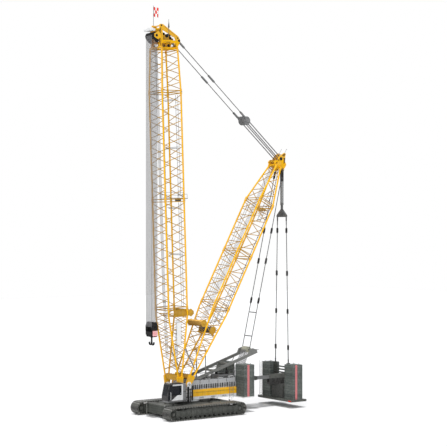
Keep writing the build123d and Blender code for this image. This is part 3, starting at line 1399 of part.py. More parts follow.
rear_pair = stay(
    REAR,
    REAR_LENGTH - REAR_LOWER_GAP,
    REAR_LINKS,
    (-REAR_PENDANT_Y, REAR_PENDANT_Y),
)
with BuildPart() as rear_pendants:
    add(rear_pair)
    for share in SPREADER_SHARES:
        add(shaft(REAR, (0, share * REAR_LENGTH), REAR_PENDANT_Y, 1.3 * PENDANT_RADIUS))
save(rear_pendants, "rear_pendants")


# ---------------------------------------------------------------- suspended ballast
BALLAST_LINE = arm_frame((BALLAST_X, 0), 90)
suspension_plates = plates(
    BALLAST_LINE,
    (-BAR_Y, BAR_Y),
    BAR_THICKNESS,
    [
        (-90, SUSPENSION_Z + 90),
        (90, SUSPENSION_Z + 90),
        (75, BARS_TOP),
        (65, BARS_BOTTOM),
        (-65, BARS_BOTTOM),
        (-75, BARS_TOP),
    ],
)
suspension_bore = discs(BALLAST_LINE, (0, SUSPENSION_Z), (0,), LUG_PIN_RADIUS + RUNNING, 4 * BAR_Y)
with BuildPart() as suspension_bars:
    add(suspension_plates)
    for z in (BARS_TOP, BARS_BOTTOM + BAR_END):
        add(shaft(BALLAST_LINE, (0, z), BAR_Y, LUG_PIN_RADIUS))
    add(suspension_bore, mode=Mode.SUBTRACT)
save(suspension_bars, "suspension_bars")

equalizer_bore = discs(
    BALLAST_LINE, (0, BARS_BOTTOM + BAR_END), (0,), LUG_PIN_RADIUS + RUNNING, 4 * BAR_Y
)
with BuildPart() as equalizer:
    with BuildSketch(Plane.YZ.offset(BALLAST_X)):
        with BuildLine():
            Polyline(
                (-EQUALIZER_APEX, EQUALIZER_TOP),
                (EQUALIZER_APEX, EQUALIZER_TOP),
                (STRAND_TOP_Y + LINK_RADIUS, STRAND_TOP + EQUALIZER_FLANGE),
                (STRAND_TOP_Y + LINK_RADIUS, STRAND_TOP),
                (-STRAND_TOP_Y - LINK_RADIUS, STRAND_TOP),
                (-STRAND_TOP_Y - LINK_RADIUS, STRAND_TOP + EQUALIZER_FLANGE),
                close=True,
            )
        make_face()
        with Locations((0, (EQUALIZER_TOP + BARS_BOTTOM) / 2)):
            Rectangle(2 * (BAR_Y - BAR_THICKNESS / 2), BARS_BOTTOM + 50 - EQUALIZER_TOP + 300)
    extrude(amount=EQUALIZER_THICKNESS / 2, both=True)
    add(equalizer_bore, mode=Mode.SUBTRACT)
save(equalizer, "equalizer")

STRAND = arm_frame((BALLAST_X, STRAND_TOP), -90)
STRAND_LENGTH = STRAND_TOP - POST_TOP
with BuildPart() as ballast_strands:
    # Each strand leans out from its upright end link under the equalizer to the one on its post.
    for side in SIDES.values():
        top_end = point(STRAND, 0, side * STRAND_TOP_Y, END_LINK)
        foot_end = point(STRAND, 0, side * POST_Y, STRAND_LENGTH - END_LINK)
        add(tube(point(STRAND, 0, side * STRAND_TOP_Y, 0), top_end, LINK_RADIUS))
        add(tube(foot_end, point(STRAND, 0, side * POST_Y, STRAND_LENGTH), LINK_RADIUS))
        lean = foot_end - top_end
        inset = lean.normalized() * (END_LINK / 2)
        add(tube(top_end - inset, foot_end + inset, PENDANT_RADIUS))
        add([tube(top_end + lean * a, top_end + lean * b, LINK_RADIUS) for a, b in STRAND_LINKS])
save(ballast_strands, "ballast_strands")

PALLET_TOP = PALLET_BOTTOM + PALLET_THICKNESS
with BuildPart() as ballast_pallet:
    with BuildSketch(Plane.XY.offset(PALLET_BOTTOM)):
        with Locations((BALLAST_X, 0)):
            Rectangle(PALLET_LENGTH, PALLET_WIDTH)
    extrude(amount=PALLET_THICKNESS)
    with BuildSketch(Plane.XY.offset(PALLET_TOP)):
        with Locations((BALLAST_X, POST_Y), (BALLAST_X, -POST_Y)):
            Rectangle(3 * POST_WIDTH, POST_WIDTH)
    extrude(amount=POST_TOP - PALLET_TOP)
    for z in CROSS_BAR_Z:
        add(shaft(BALLAST_LINE, (-POST_WIDTH, z), POST_Y, 40))
        add(shaft(BALLAST_LINE, (POST_WIDTH, z), POST_Y, 40))
save(ballast_pallet, "ballast_pallet")
slab_stacks(
    "ballast_stacks",
    [(BALLAST_X, side * BALLAST_STACK_Y) for side in SIDES.values()],
    BALLAST_STACK_LENGTH,
    BALLAST_STACK_WIDTH,
    PALLET_TOP,
    BALLAST_STACK_HEIGHT,
    BALLAST_SLABS,
)
slab_stacks(
    "centre_ballast",
    [(BALLAST_X, 0)],
    BALLAST_STACK_LENGTH,
    CENTRE_STACK_WIDTH,
    PALLET_TOP,
    CENTRE_STACK_HEIGHT,
    CENTRE_SLABS,
)

# Frame on the centre stack, with a fork in front that straddles the tip of the guide beam.
FORK_BASE = PALLET_TOP + CENTRE_STACK_HEIGHT
FORK_INSIDE = GUIDE_HALF_WIDTH - GUIDE_WALL - GUIDE_GAP + FORK_GAP
with BuildPart() as ballast_frame:
    with BuildSketch(Plane.XY.offset(FORK_BASE)):
        with Locations(((FORK_FRONT + BALLAST_X - BALLAST_STACK_LENGTH / 2) / 2, 0)):
            Rectangle(
                FORK_FRONT - BALLAST_X + BALLAST_STACK_LENGTH / 2, 2 * (FORK_INSIDE + FORK_PLATE)
            )
    extrude(amount=FORK_FLOOR - FORK_BASE)
    with BuildSketch(Plane.XY.offset(FORK_FLOOR)):
        for side in SIDES.values():
            with Locations(((FORK_FRONT + FORK_REAR) / 2, side * (FORK_INSIDE + FORK_PLATE / 2))):
                Rectangle(FORK_FRONT - FORK_REAR, FORK_PLATE)
        with Locations(((FORK_REAR + BALLAST_X - BALLAST_STACK_LENGTH / 2) / 2, 0)):
            Rectangle(
                FORK_REAR - BALLAST_X + BALLAST_STACK_LENGTH / 2, 2 * (FORK_INSIDE + FORK_PLATE)
            )
    extrude(amount=FORK_TOP - FORK_FLOOR)
save(ballast_frame, "ballast_frame")


# ---------------------------------------------------------------- guide beam
GUIDE = arm_frame(GUIDE_PIVOT, 180)


def guide_plane(s):
    return Plane(origin=point(GUIDE, 0, 0, s), x_dir=(0, 1, 0), z_dir=GUIDE.z_dir)



guide_eye = discs(GUIDE, (0, 0), (0,), GUIDE_EYE_RADIUS, GUIDE_EYE)
guide_bore = discs(GUIDE, (0, 0), (0,), GUIDE_PIN_RADIUS + RUNNING, 2 * GUIDE_EYE)
with BuildPart() as guide_beam_outer:
    add(guide_eye)
    with BuildSketch(guide_plane(0)):
        Rectangle(GUIDE_EYE, GUIDE_EYE)
    extrude(amount=GUIDE_NECK)
    with BuildSketch(guide_plane(GUIDE_NECK)):
        Rectangle(2 * GUIDE_HALF_WIDTH, 2 * GUIDE_HALF_WIDTH)
    extrude(amount=GUIDE_OUTER_LENGTH - GUIDE_NECK)
    with BuildSketch(guide_plane(GUIDE_NECK + GUIDE_END_PLATE)):
        Rectangle(2 * (GUIDE_HALF_WIDTH - GUIDE_WALL), 2 * (GUIDE_HALF_WIDTH - GUIDE_WALL))
    extrude(amount=GUIDE_OUTER_LENGTH, mode=Mode.SUBTRACT)
    add(guide_bore, mode=Mode.SUBTRACT)
save(guide_beam_outer, "guide_beam_outer")

with BuildPart() as guide_beam_inner:
    with BuildSketch(guide_plane(GUIDE_INNER_START)):
        Rectangle(
            2 * (GUIDE_HALF_WIDTH - GUIDE_WALL - GUIDE_GAP),
            2 * (GUIDE_HALF_WIDTH - GUIDE_WALL - SEAT),
        )
    extrude(amount=GUIDE_TIP - GUIDE_INNER_START)
save(guide_beam_inner, "guide_beam_inner")


upper = point(GANTRY, GANTRY_PULLEY[0], 0, GANTRY_PULLEY[1])
GANTRY_ROPE = arm_frame(
    LOWER_PULLEY, degrees(atan2(upper.Z - LOWER_PULLEY[1], upper.X - LOWER_PULLEY[0]))
)
GANTRY_ROPE_LENGTH = hypot(upper.Z - LOWER_PULLEY[1], upper.X - LOWER_PULLEY[0])
with BuildPart() as gantry_ropes:
    for side in (1, -1):
        for k in range(GANTRY_ROPES):
            v = (k - (GANTRY_ROPES - 1) / 2) * GANTRY_ROPE_PITCH
            add(
                tube(
                    point(GANTRY_ROPE, side * (LOWER_PULLEY_RADIUS + LUFF_ROPE_RADIUS + SEAT), v, 0),
                    point(
                        GANTRY_ROPE,
                        side * (GANTRY_PULLEY_RADIUS + LUFF_ROPE_RADIUS + SEAT),
                        v,
                        GANTRY_ROPE_LENGTH,
                    ),
                    LUFF_ROPE_RADIUS,
                )
            )
save(gantry_ropes, "gantry_ropes")

bar = point(DERRICK, BACKSTOP_BAR[0], 0, BACKSTOP_BAR[1])
BACKSTOP_LINE = arm_frame((bar.X, DECK_TOP + SEAT + BACKSTOP_EYE), 90)
BACKSTOP_YS = (-BACKSTOP_Y, BACKSTOP_Y)
rod_head_s = bar.Z - BACKSTOP_RADIUS - SEAT - BACKSTOP_HEAD - BACKSTOP_LINE.origin.Z
tube_eyes = discs(BACKSTOP_LINE, (0, 0), BACKSTOP_YS, BACKSTOP_EYE, 1.5 * BACKSTOP_RADIUS)
rod_heads = discs(
    BACKSTOP_LINE, (0, rod_head_s), BACKSTOP_YS, BACKSTOP_HEAD, 1.5 * BACKSTOP_ROD_RADIUS
)
with BuildPart() as derrick_backstop_tubes:
    for v in BACKSTOP_YS:
        with BuildSketch(Plane.XY.offset(BACKSTOP_LINE.origin.Z)):
            with Locations((bar.X, v)):
                Circle(BACKSTOP_RADIUS)
        extrude(amount=BACKSTOP_TUBE)
        with BuildSketch(Plane.XY.offset(BACKSTOP_LINE.origin.Z + 2 * BACKSTOP_RADIUS)):
            with Locations((bar.X, v)):
                Circle(BACKSTOP_ROD_RADIUS + RUNNING)
        extrude(amount=BACKSTOP_TUBE, mode=Mode.SUBTRACT)
    add(tube_eyes)
save(derrick_backstop_tubes, "derrick_backstop_tubes")
with BuildPart() as derrick_backstop_rods:
    for v in BACKSTOP_YS:
        with BuildSketch(Plane.XY.offset(BACKSTOP_LINE.origin.Z + rod_head_s)):
            with Locations((bar.X, v)):
                Circle(BACKSTOP_ROD_RADIUS)
        extrude(amount=-BACKSTOP_ROD)
    add(rod_heads)
save(derrick_backstop_rods, "derrick_backstop_rods")
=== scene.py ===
"""Looks of a half-size crawler machine with a lattice boom, derrick and suspended ballast.

Lengths are metres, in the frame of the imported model: X forward, Y to the left, Z up. The places of
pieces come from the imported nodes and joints, and from the few driving sizes named below.
"""
import json
import math

import bmesh
import bpy
import numpy as np
from mathutils import Matrix, Vector


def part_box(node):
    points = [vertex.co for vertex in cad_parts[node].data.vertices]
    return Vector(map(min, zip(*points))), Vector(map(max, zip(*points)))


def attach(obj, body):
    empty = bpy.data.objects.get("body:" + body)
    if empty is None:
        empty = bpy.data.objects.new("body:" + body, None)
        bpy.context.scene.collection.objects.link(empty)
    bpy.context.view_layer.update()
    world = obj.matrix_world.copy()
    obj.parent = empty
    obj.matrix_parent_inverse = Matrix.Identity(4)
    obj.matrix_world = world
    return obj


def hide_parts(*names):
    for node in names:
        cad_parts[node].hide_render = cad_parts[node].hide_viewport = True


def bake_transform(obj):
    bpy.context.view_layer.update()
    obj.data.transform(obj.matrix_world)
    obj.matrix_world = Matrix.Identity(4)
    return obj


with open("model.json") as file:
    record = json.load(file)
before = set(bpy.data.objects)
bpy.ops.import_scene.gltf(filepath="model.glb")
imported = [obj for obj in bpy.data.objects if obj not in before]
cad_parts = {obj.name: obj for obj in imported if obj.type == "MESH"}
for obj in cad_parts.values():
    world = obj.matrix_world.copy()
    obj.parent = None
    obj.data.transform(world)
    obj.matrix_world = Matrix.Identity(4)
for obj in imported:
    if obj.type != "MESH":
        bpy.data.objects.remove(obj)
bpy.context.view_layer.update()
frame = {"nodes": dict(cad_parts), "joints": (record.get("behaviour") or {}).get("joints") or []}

JOINTS = {joint["name"]: np.array(joint["pos_m"], float) for joint in frame["joints"] if "pos_m" in joint}
NODES = frame["nodes"]
X_AXIS, Y_AXIS, Z_AXIS = np.eye(3)
SIDES = (1, -1)
TAGS = {1: "left", -1: "right"}

# driving sizes of the arms
BOOM_ELEVATION, DERRICK_ELEVATION, GANTRY_ELEVATION = 88.0, 118.3, 162.8
BOOM_CHEEK, DERRICK_CHEEK = 0.887, 0.925  # half widths at the feet and the winches
BOOM_JOINTS = (5.8, 13.9, 22.0)  # distances along each arm of its section joints
DERRICK_JOINTS = (6.6, 11.075, 15.55)
# stations along each arm, with the half depths and half widths of its chords there
BOOM_SIZES = ((0.0, 5.25, 22.0, 25.2), (0.15, 0.835, 0.835, 0.70), (0.887, 0.887, 0.887, 0.80))
DERRICK_SIZES = ((0.0, 6.1, 15.55, 18.8), (0.15, 0.705, 0.705, 0.23), (0.925, 0.925, 0.925, 0.48))
# the same for the bright paint of the chords, against the painted shade of the lacing, which starts at the legs' upper
# ends
PAINT_START, PAINT_DEPTH, PAINT_REACH = 0.9, 0.20, 0.115


# ---------------------------------------------------------------- places
def low(node):
    """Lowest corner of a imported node."""
    return np.array(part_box(node)[0])


def high(node):
    """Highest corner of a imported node."""
    return np.array(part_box(node)[1])


def middle(node):
    """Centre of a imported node's box."""
    return (low(node) + high(node)) / 2


class Place:
    """A local frame: a call gives origin + u*out + v*side + s*along, for numbers or arrays."""

    def __init__(self, origin, out, along, side=Y_AXIS):
        self.origin = np.asarray(origin, float)
        self.axes = np.array([out, side, along], float)

    def __call__(self, u, v, s):
        u, v, s = np.broadcast_arrays(*[np.asarray(value, float)[..., None] for value in (u, v, s)])
        out, side, along = self.axes
        return self.origin + u * out + v * side + s * along


def arm(joint, elevation):
    """The frame of an arm: s along it from its foot joint, and u to its upper side."""
    c, s = math.cos(math.radians(elevation)), math.sin(math.radians(elevation))
    return Place(JOINTS[joint], (s, 0, -c), (c, 0, s))


BOOM = arm("boom_luff", BOOM_ELEVATION)
DERRICK = arm("derrick_luff", DERRICK_ELEVATION)
GANTRY = arm("gantry_luff", GANTRY_ELEVATION)
WORLD = Place((0, 0, 0), X_AXIS, Z_AXIS)
FORWARD = Place((0, 0, 0), Y_AXIS, Z_AXIS, X_AXIS)


def half_sizes(sizes, s):
    """Half depth and half width of an arm at s, straight between its stations."""
    return np.interp(s, sizes[0], sizes[1]), np.interp(s, sizes[0], sizes[2])


# ---------------------------------------------------------------- surfaces as arrays
def joined(parts):
    """One (vertices, face arrays) pair from several."""
    vertices, faces, start = [], [], 0
    for part_vertices, part_faces in parts:
        vertices.append(part_vertices)
        faces += [array + start for array in part_faces]
        start += len(part_vertices)
    return np.concatenate(vertices), faces


def unit(vectors):
    return vectors / np.linalg.norm(vectors, axis=-1, keepdims=True)


def across(directions):
    """Two unit vectors square to each direction and to each other."""
    helper = np.where(np.abs(directions[..., 2:3]) < 0.9, Z_AXIS, X_AXIS)
    first = unit(np.cross(directions, helper))
    return first, np.cross(directions, first)


def turn(e1, e2, sides):
    """Unit circles: cos t e1 + sin t e2, with t in equal steps."""
    t = np.linspace(0, 2 * math.pi, sides, endpoint=False)[:, None]
    return np.cos(t) * e1[..., None, :] + np.sin(t) * e2[..., None, :]


def shells(rings):
    """Closed skins from rings[piece, level, point, xyz]: quads between levels, flat caps at both ends."""
    index = np.arange(math.prod(rings.shape[:3])).reshape(rings.shape[:3])
    ahead = np.roll(index, -1, axis=2)
    quads = np.stack([index[:, :-1], ahead[:, :-1], ahead[:, 1:], index[:, 1:]], -1)
    return rings.reshape(-1, 3), [quads.reshape(-1, 4), np.concatenate([index[:, 0, ::-1], index[:, -1]])]


def rods(starts, ends, radius, sides=8):
    """Round bars: p + r(cos t e1 + sin t e2), t round the circle, at the start and the end of each."""
    starts, ends = np.broadcast_arrays(np.atleast_2d(starts), np.atleast_2d(ends))
    ring = radius * turn(*across(unit(ends - starts)), sides)
    return shells(np.stack([starts[:, None] + ring, ends[:, None] + ring], 1))


def bar(place, u, s, half, radius, sides=10):
    """A round bar across a frame, from v = -half to v = half."""
    return rods(place(u, -half, s), place(u, half, s), radius, sides)


def tube(path, radius, sides=8):
    """A round bar along a path: p(s) + r(cos t e1 + sin t e2), with e1 and e2 square to the path."""
    path = np.asarray(path, float)
    tangent = unit(np.gradient(path, axis=0))
    e1 = unit(np.cross(tangent, np.eye(3)[np.argmin(np.ptp(path, axis=0))]))
    return shells((path[:, None] + radius * turn(e1, np.cross(tangent, e1), sides))[None])


def bend(*points, samples=6):
    """Smooth path through points: each span is the cubic with the slopes (next - last) / 2."""
    points = np.asarray(points, float)
    padded = np.concatenate([2 * points[:1] - points[1:2], points, 2 * points[-1:] - points[-2:-1]])
    t = np.linspace(0, 1, samples, endpoint=False)[None, :, None]
    p0, p1, p2, p3 = (padded[k : len(padded) - 3 + k][:, None] for k in range(4))
    cubic = p1 + t * (p2 - p0) / 2 + t**2 * (p0 - 2.5 * p1 + 2 * p2 - p3 / 2)
    cubic = cubic + t**3 * (1.5 * (p1 - p2) + (p3 - p0) / 2)
    return np.concatenate([cubic.reshape(-1, 3), points[-1:]])


def lathe(centres, axis, profile, sides=24):
    """Turned pieces: centre + h*axis + r(cos t e1 + sin t e2) for each (r, h) of the profile."""
    centres = np.atleast_2d(np.asarray(centres, float))
    axis = unit(np.asarray(axis, float))
    profile = np.asarray(profile, float)
    rings = profile[:, 1, None, None] * axis + profile[:, 0, None, None] * turn(*across(axis), sides)
    return shells(centres[:, None, None] + rings[None])


def grooves(first, pitch, count, steps):
    """Profile points (r, h) of equal grooves, each with the same steps (r, rise)."""
    return [(radius, first + pitch * k + rise) for k in range(count) for radius, rise in steps]


SIGNS = np.array([[i, j, k] for i in (-1, 1) for j in (-1, 1) for k in (-1, 1)])


def block_faces():
    """Faces of a chamfered block whose corner c has three points, 3c + k on the face square to k."""
    quads = []
    for k in range(3):
        i, j = (k + 1) % 3, (k + 2) % 3
        for sign in (-1, 1):
            corners = [c for c in range(8) if SIGNS[c, k] == sign]
            corners.sort(key=lambda c: math.atan2(SIGNS[c, j], SIGNS[c, i]))
            quads.append([3 * c + k for c in corners])
        for si in (-1, 1):
            for sj in (-1, 1):
                a, b = [c for c in range(8) if SIGNS[c, i] == si and SIGNS[c, j] == sj]
                quads.append([3 * a + i, 3 * b + i, 3 * b + j, 3 * a + j])
    return np.array(quads), np.arange(24).reshape(8, 3)


BLOCK_QUADS, BLOCK_TRIANGLES = block_faces()


def blocks(centres, sizes, chamfer=0.006, axes=None):
    """Chamfered blocks: each corner is cut by three points, full out on one axis and drawn in on two."""
    centres = np.atleast_2d(np.asarray(centres, float))
    half = np.broadcast_to(np.asarray(sizes, float) / 2, centres.shape)
    inset = np.minimum(chamfer, half.min(axis=1) * 0.45)[:, None, None, None]
    shape = SIGNS[None, :, None, :] * (half[:, None, None, :] - inset * (1 - np.eye(3))[None, None])
    if axes is not None:
        shape = shape @ axes
    base = np.arange(len(centres))[:, None, None] * 24
    faces = [(base + BLOCK_QUADS).reshape(-1, 4), (base + BLOCK_TRIANGLES).reshape(-1, 3)]
    return (centres[:, None, None] + shape).reshape(-1, 3), faces


def spans(firsts, lasts, chamfer=0.003):
    """Chamfered blocks between opposite corners."""
    firsts, lasts = np.broadcast_arrays(np.atleast_2d(firsts).astype(float), np.atleast_2d(lasts))
    return blocks((firsts + lasts) / 2, np.abs(lasts - firsts), chamfer)


def drawn_in(outline, distance):
    """The outline moved inwards: each corner goes along the bisector of its two edges."""
    ahead = np.roll(outline, -1, axis=0)
    edge = unit(ahead - outline)
    area = np.sum(outline[:, 0] * ahead[:, 1] - outline[:, 1] * ahead[:, 0])
    normal = np.stack([-edge[:, 1], edge[:, 0]], -1) * np.sign(area)
    bisector = unit(np.roll(normal, 1, axis=0) + normal)
    return outline + distance * bisector / np.maximum(0.4, np.sum(bisector * normal, -1))[:, None]


def plates(place, outline, offsets, thickness, chamfer=0.004):
    """Plates of one (u, s) outline at several v: four rings, with the outer two drawn in by the chamfer."""
    outer, half = np.asarray(outline, float), thickness / 2
    inner = drawn_in(outer, chamfer)
    levels = [(inner, -half), (outer, chamfer - half), (outer, half - chamfer), (inner, half)]
    rings = [[place(ring[:, 0], v + rise, ring[:, 1]) for ring, rise in levels] for v in offsets]
    return shells(np.array(rings))


def oblong(u0, u1, s0, s1):
    """Outline of a rectangle."""
    return [(u0, s0), (u1, s0), (u1, s1), (u0, s1)]


def arc(centre, radius, start, end, count=8):
    """Points (u, s) of an arc, with its angles in degrees."""
    t = np.radians(np.linspace(start, end, count))
    return np.stack([centre[0] + radius * np.cos(t), centre[1] + radius * np.sin(t)], -1)


def link(u, s0, s1, radius):
    """Outline of a link plate with round ends."""
    return np.concatenate([arc((u, s1), radius, 0, 180), arc((u, s0), radius, 180, 360)])


def lug(u, s, radius, foot, half, spread=0, count=9):
    """Outline of a lug: a round head at s on a wider foot."""
    return np.concatenate([arc((u, s), radius, -spread, 180 + spread, count), [(u - half, foot), (u + half, foot)]])


def bolts(centres, axis, radius, height):
    """Hexagonal bolt heads with a washer face."""
    profile = [(radius * 1.5, 0), (radius * 1.5, height * 0.3), (radius, height * 0.3), (radius, height)]
    return lathe(centres, axis, profile, sides=6)


def bolt_circle(centre, axis, reach, count, radius, height):
    """Bolt heads evenly round a circle square to the axis."""
    ring = turn(*across(unit(np.asarray(axis, float))), count)
    return bolts(np.asarray(centre, float) + reach * ring, axis, radius, height)


def sheave(centre, radius, width, sides=36):
    """Grooved wheel: two flanges with a round groove between, a web with ribs, and a hub."""
    w = width / 2
    half = [(0.03, 1.2), (0.085, 1.2), (0.085, 0.5), (radius * 0.72, 0.45), (radius * 0.78, 1),
            (radius, 1), (radius * 0.985, 0.7), (radius * 0.92, 0.3)]
    profile = [(r, -h * w) for r, h in half] + [(radius * 0.9, 0)] + [(r, h * w) for r, h in half[::-1]]
    return lathe(centre, Y_AXIS, profile, sides)


def mesh_object(name, mesh, material, body, slot):
    """An object of the scene, riding on a body, or on none."""
    mesh.materials.append(material)
    made = bpy.data.objects.new(name, mesh)
    bpy.context.scene.collection.objects.link(made)
    if body:
        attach(made, body)
    return made


def piece(name, parts, material, body, slot=None, smooth=35, replaces=None):
    """A mesh object from parts, with faces outward."""
    vertices, faces = joined(parts)
    mesh = bpy.data.meshes.new(name)
    lengths = np.concatenate([np.full(len(array), array.shape[1]) for array in faces])
    loops = np.concatenate([array.ravel() for array in faces])
    mesh.vertices.add(len(vertices))
    mesh.vertices.foreach_set("co", vertices.astype(np.float32).ravel())
    mesh.loops.add(len(loops))
    mesh.loops.foreach_set("vertex_index", loops.astype(np.int32))
    mesh.polygons.add(len(lengths))
    mesh.polygons.foreach_set("loop_start", np.concatenate([[0], np.cumsum(lengths)[:-1]]))
    mesh.update(calc_edges=True)
    mesh.validate()
    shell = bmesh.new()
    shell.from_mesh(mesh)
    bmesh.ops.remove_doubles(shell, verts=shell.verts, dist=1e-5)
    bmesh.ops.recalc_face_normals(shell, faces=shell.faces)
    shell.to_mesh(mesh)
    shell.free()
    mesh.polygons.foreach_set("use_smooth", np.ones(len(mesh.polygons), bool))
    mesh.set_sharp_from_angle(angle=math.radians(smooth))
    made = mesh_object(name, mesh, material, body, slot or SLOTS[material.name])
    if replaces:
        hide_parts(replaces)
    return made


# ---------------------------------------------------------------- shader nodes
class Shader:
    """Adds nodes to one tree. A value may be a number, a colour of three numbers, or another node's socket."""

    def __init__(self, tree):
        self.tree = tree

    def put(self, value, socket):
        if isinstance(value, bpy.types.NodeSocket):
            self.tree.links.new(value, socket)
        elif socket.type == "RGBA":
            socket.default_value = (*value, 1.0)
        else:
            socket.default_value = value

    def node(self, kind, inputs=(), **settings):
        made = self.tree.nodes.new("ShaderNode" + kind)
        for key, value in settings.items():
            setattr(made, key, value)
        for key, value in dict(inputs).items():
            self.put(value, made.inputs[key])
        return made

    def __getattr__(self, operation):
        """Arithmetic by the name of its operation, as in add, multiply_add or less_than."""
        def result(*values):
            return self.node("Math", dict(enumerate(values)), operation=operation.upper()).outputs[0]
        return result

    def noise(self, vector, scale, detail=3.0, roughness=0.55):
        inputs = {"Vector": vector, "Scale": scale, "Detail": detail, "Roughness": roughness}
        return self.node("TexNoise", inputs).outputs["Fac"]

    def mix(self, factor, first, second):
        return self.node("Mix", {0: factor, 6: first, 7: second}, data_type="RGBA").outputs[2]

    def ranged(self, value, low_in, high_in, low_out=0.0, high_out=1.0):
        inputs = dict(enumerate((value, low_in, high_in, low_out, high_out)))
        return self.node("MapRange", inputs, clamp=True).outputs[0]

    def scaled(self, colour, factor):
        return self.node("VectorMath", {0: colour, "Scale": factor}, operation="SCALE").outputs[0]

    def place(self):
        return self.node("TexCoord").outputs["Object"]

    def parts(self, vector):
        return self.node("SeparateXYZ", {0: vector}).outputs

    def use(self, group, **values):
        """A shader group with its inputs, which are written with _ for a space."""
        made = self.node("Group", node_tree=group)
        for key, value in values.items():
            self.put(value, made.inputs[key.replace("_", " ")])
        return made.outputs

    def fill(self, inputs, **values):
        """Values for a node's inputs, which are written with _ for a space."""
        for key, value in values.items():
            self.put(value, inputs[key.replace("_", " ")])


COLOUR, NUMBER = "NodeSocketColor", "NodeSocketFloat"


def new_group(name, inputs, outputs):
    """An empty shader group with its sockets: a maker of its nodes, its given values, and what it puts out."""
    group = bpy.data.node_groups.new(name, "ShaderNodeTree")
    for socket, value in inputs.items():
        coloured = isinstance(value, tuple)
        kind = COLOUR if coloured else NUMBER
        made = group.interface.new_socket(name=socket, in_out="INPUT", socket_type=kind)
        made.default_value = (*value, 1.0) if coloured else value
    for socket, kind in outputs.items():
        group.interface.new_socket(name=socket, in_out="OUTPUT", socket_type=kind)
    return Shader(group), group.nodes.new("NodeGroupInput").outputs, group.nodes.new("NodeGroupOutput").inputs


def weathering_group():
    """Mottled paint with rain streaks and dust: colour, roughness and a fine height."""
    t, given, made = new_group(
        "weathering",
        {"Paint": (0.8, 0.5, 0.05), "Dust": (0.35, 0.32, 0.27), "Dust amount": 0.2, "Mottle": 0.12, "Roughness": 0.4},
        {"Colour": COLOUR, "Roughness": NUMBER, "Height": NUMBER},
    )
    place = t.place()
    broad, medium, fine = t.noise(place, 0.9), t.noise(place, 7.0, 4.0), t.noise(place, 90.0, 2.0)
    streak = t.noise(t.node("Mapping", {"Vector": place, "Scale": (9.0, 9.0, 0.7)}).outputs[0], 1.6, 4.0, 0.65)
    tone = t.add(t.multiply(broad, 0.55), t.multiply(medium, 0.45))
    shade = t.multiply_add(t.multiply_add(t.subtract(tone, 0.5), given["Mottle"], 0.0), 4.0, 1.0)
    dirt = t.ranged(t.multiply_add(streak, 0.7, t.multiply(tone, 0.3)), 0.5, 0.68)
    dirt = t.multiply(dirt, given["Dust amount"])
    rough = t.multiply_add(dirt, 0.5, given["Roughness"])
    t.put(t.mix(dirt, t.scaled(given["Paint"], shade), given["Dust"]), made["Colour"])
    t.put(t.multiply_add(t.subtract(medium, 0.5), 0.18, rough), made["Roughness"])
    t.put(t.multiply_add(fine, 0.5, t.multiply(medium, 0.5)), made["Height"])
    return t.tree


def edge_wear_group():
    """Mask of worn outer edges: high where the surface is convex, broken up by noise."""
    t, given, made = new_group("edge_wear", {"Amount": 0.5, "Scale": 20.0}, {"Mask": NUMBER})
    edge = t.ranged(t.node("NewGeometry").outputs["Pointiness"], 0.505, 0.56)
    chips = t.node("TexNoise", {"Vector": t.place(), "Scale": given["Scale"], "Detail": 5.0}).outputs["Fac"]
    t.put(t.multiply(t.multiply(edge, t.ranged(chips, 0.42, 0.6)), given["Amount"]), made["Mask"])
    return t.tree


def bands_group():
    """Slanted bands of equal width: 0 and 1 by turns along z + x*a + y*b."""
    t, given, made = new_group("bands", {"Pitch": 0.2, "Slant x": 0.0, "Slant y": 0.0}, {"Mask": NUMBER})
    x, y, z = t.parts(t.place())
    total = t.multiply_add(y, given["Slant y"], t.multiply_add(x, given["Slant x"], z))
    t.put(t.greater_than(t.fract(t.divide(total, given["Pitch"])), 0.5), made["Mask"])
    return t.tree


def strands_group():
    """Twisted strands of a wire rope: a wave along x + y + 2z, and its shaded valleys."""
    t, given, made = new_group("strands", {"Pitch": 0.03}, {"Height": NUMBER, "Valley": NUMBER})
    x, y, z = t.parts(t.place())
    phase = t.divide(t.multiply_add(z, 2.0, t.add(x, y)), given["Pitch"])
    height = t.multiply_add(t.sine(t.multiply(phase, 2 * math.pi)), 0.5, 0.5)
    t.put(height, made["Height"])
    t.put(t.ranged(height, 0.0, 0.45, 1.0, 0.0), made["Valley"])
    return t.tree


WEATHERING, EDGE_WEAR, BANDS, STRANDS = weathering_group(), edge_wear_group(), bands_group(), strands_group()

# ---------------------------------------------------------------- materials
DUST, SOOT = (0.33, 0.30, 0.25), (0.05, 0.047, 0.043)
LIGHT_PAINT, BAND_YELLOW = (0.80, 0.81, 0.81), (1.0, 0.56, 0.0)
SHOE_COUNT, SHOE_RUN = 26, 6.0  # shoes along the straight part of a track
SLAB = 0.2067  # height of a counterweight slab
SLOTS = {}  # a slot name for each material, looked up where a piece names no other


def new_material(name, slot):
    """A new material, a maker of its nodes, and its shader's inputs."""
    material = bpy.data.materials.new(name)
    material.use_nodes = True
    SLOTS[material.name] = slot
    return material, Shader(material.node_tree), material.node_tree.nodes["Principled BSDF"].inputs


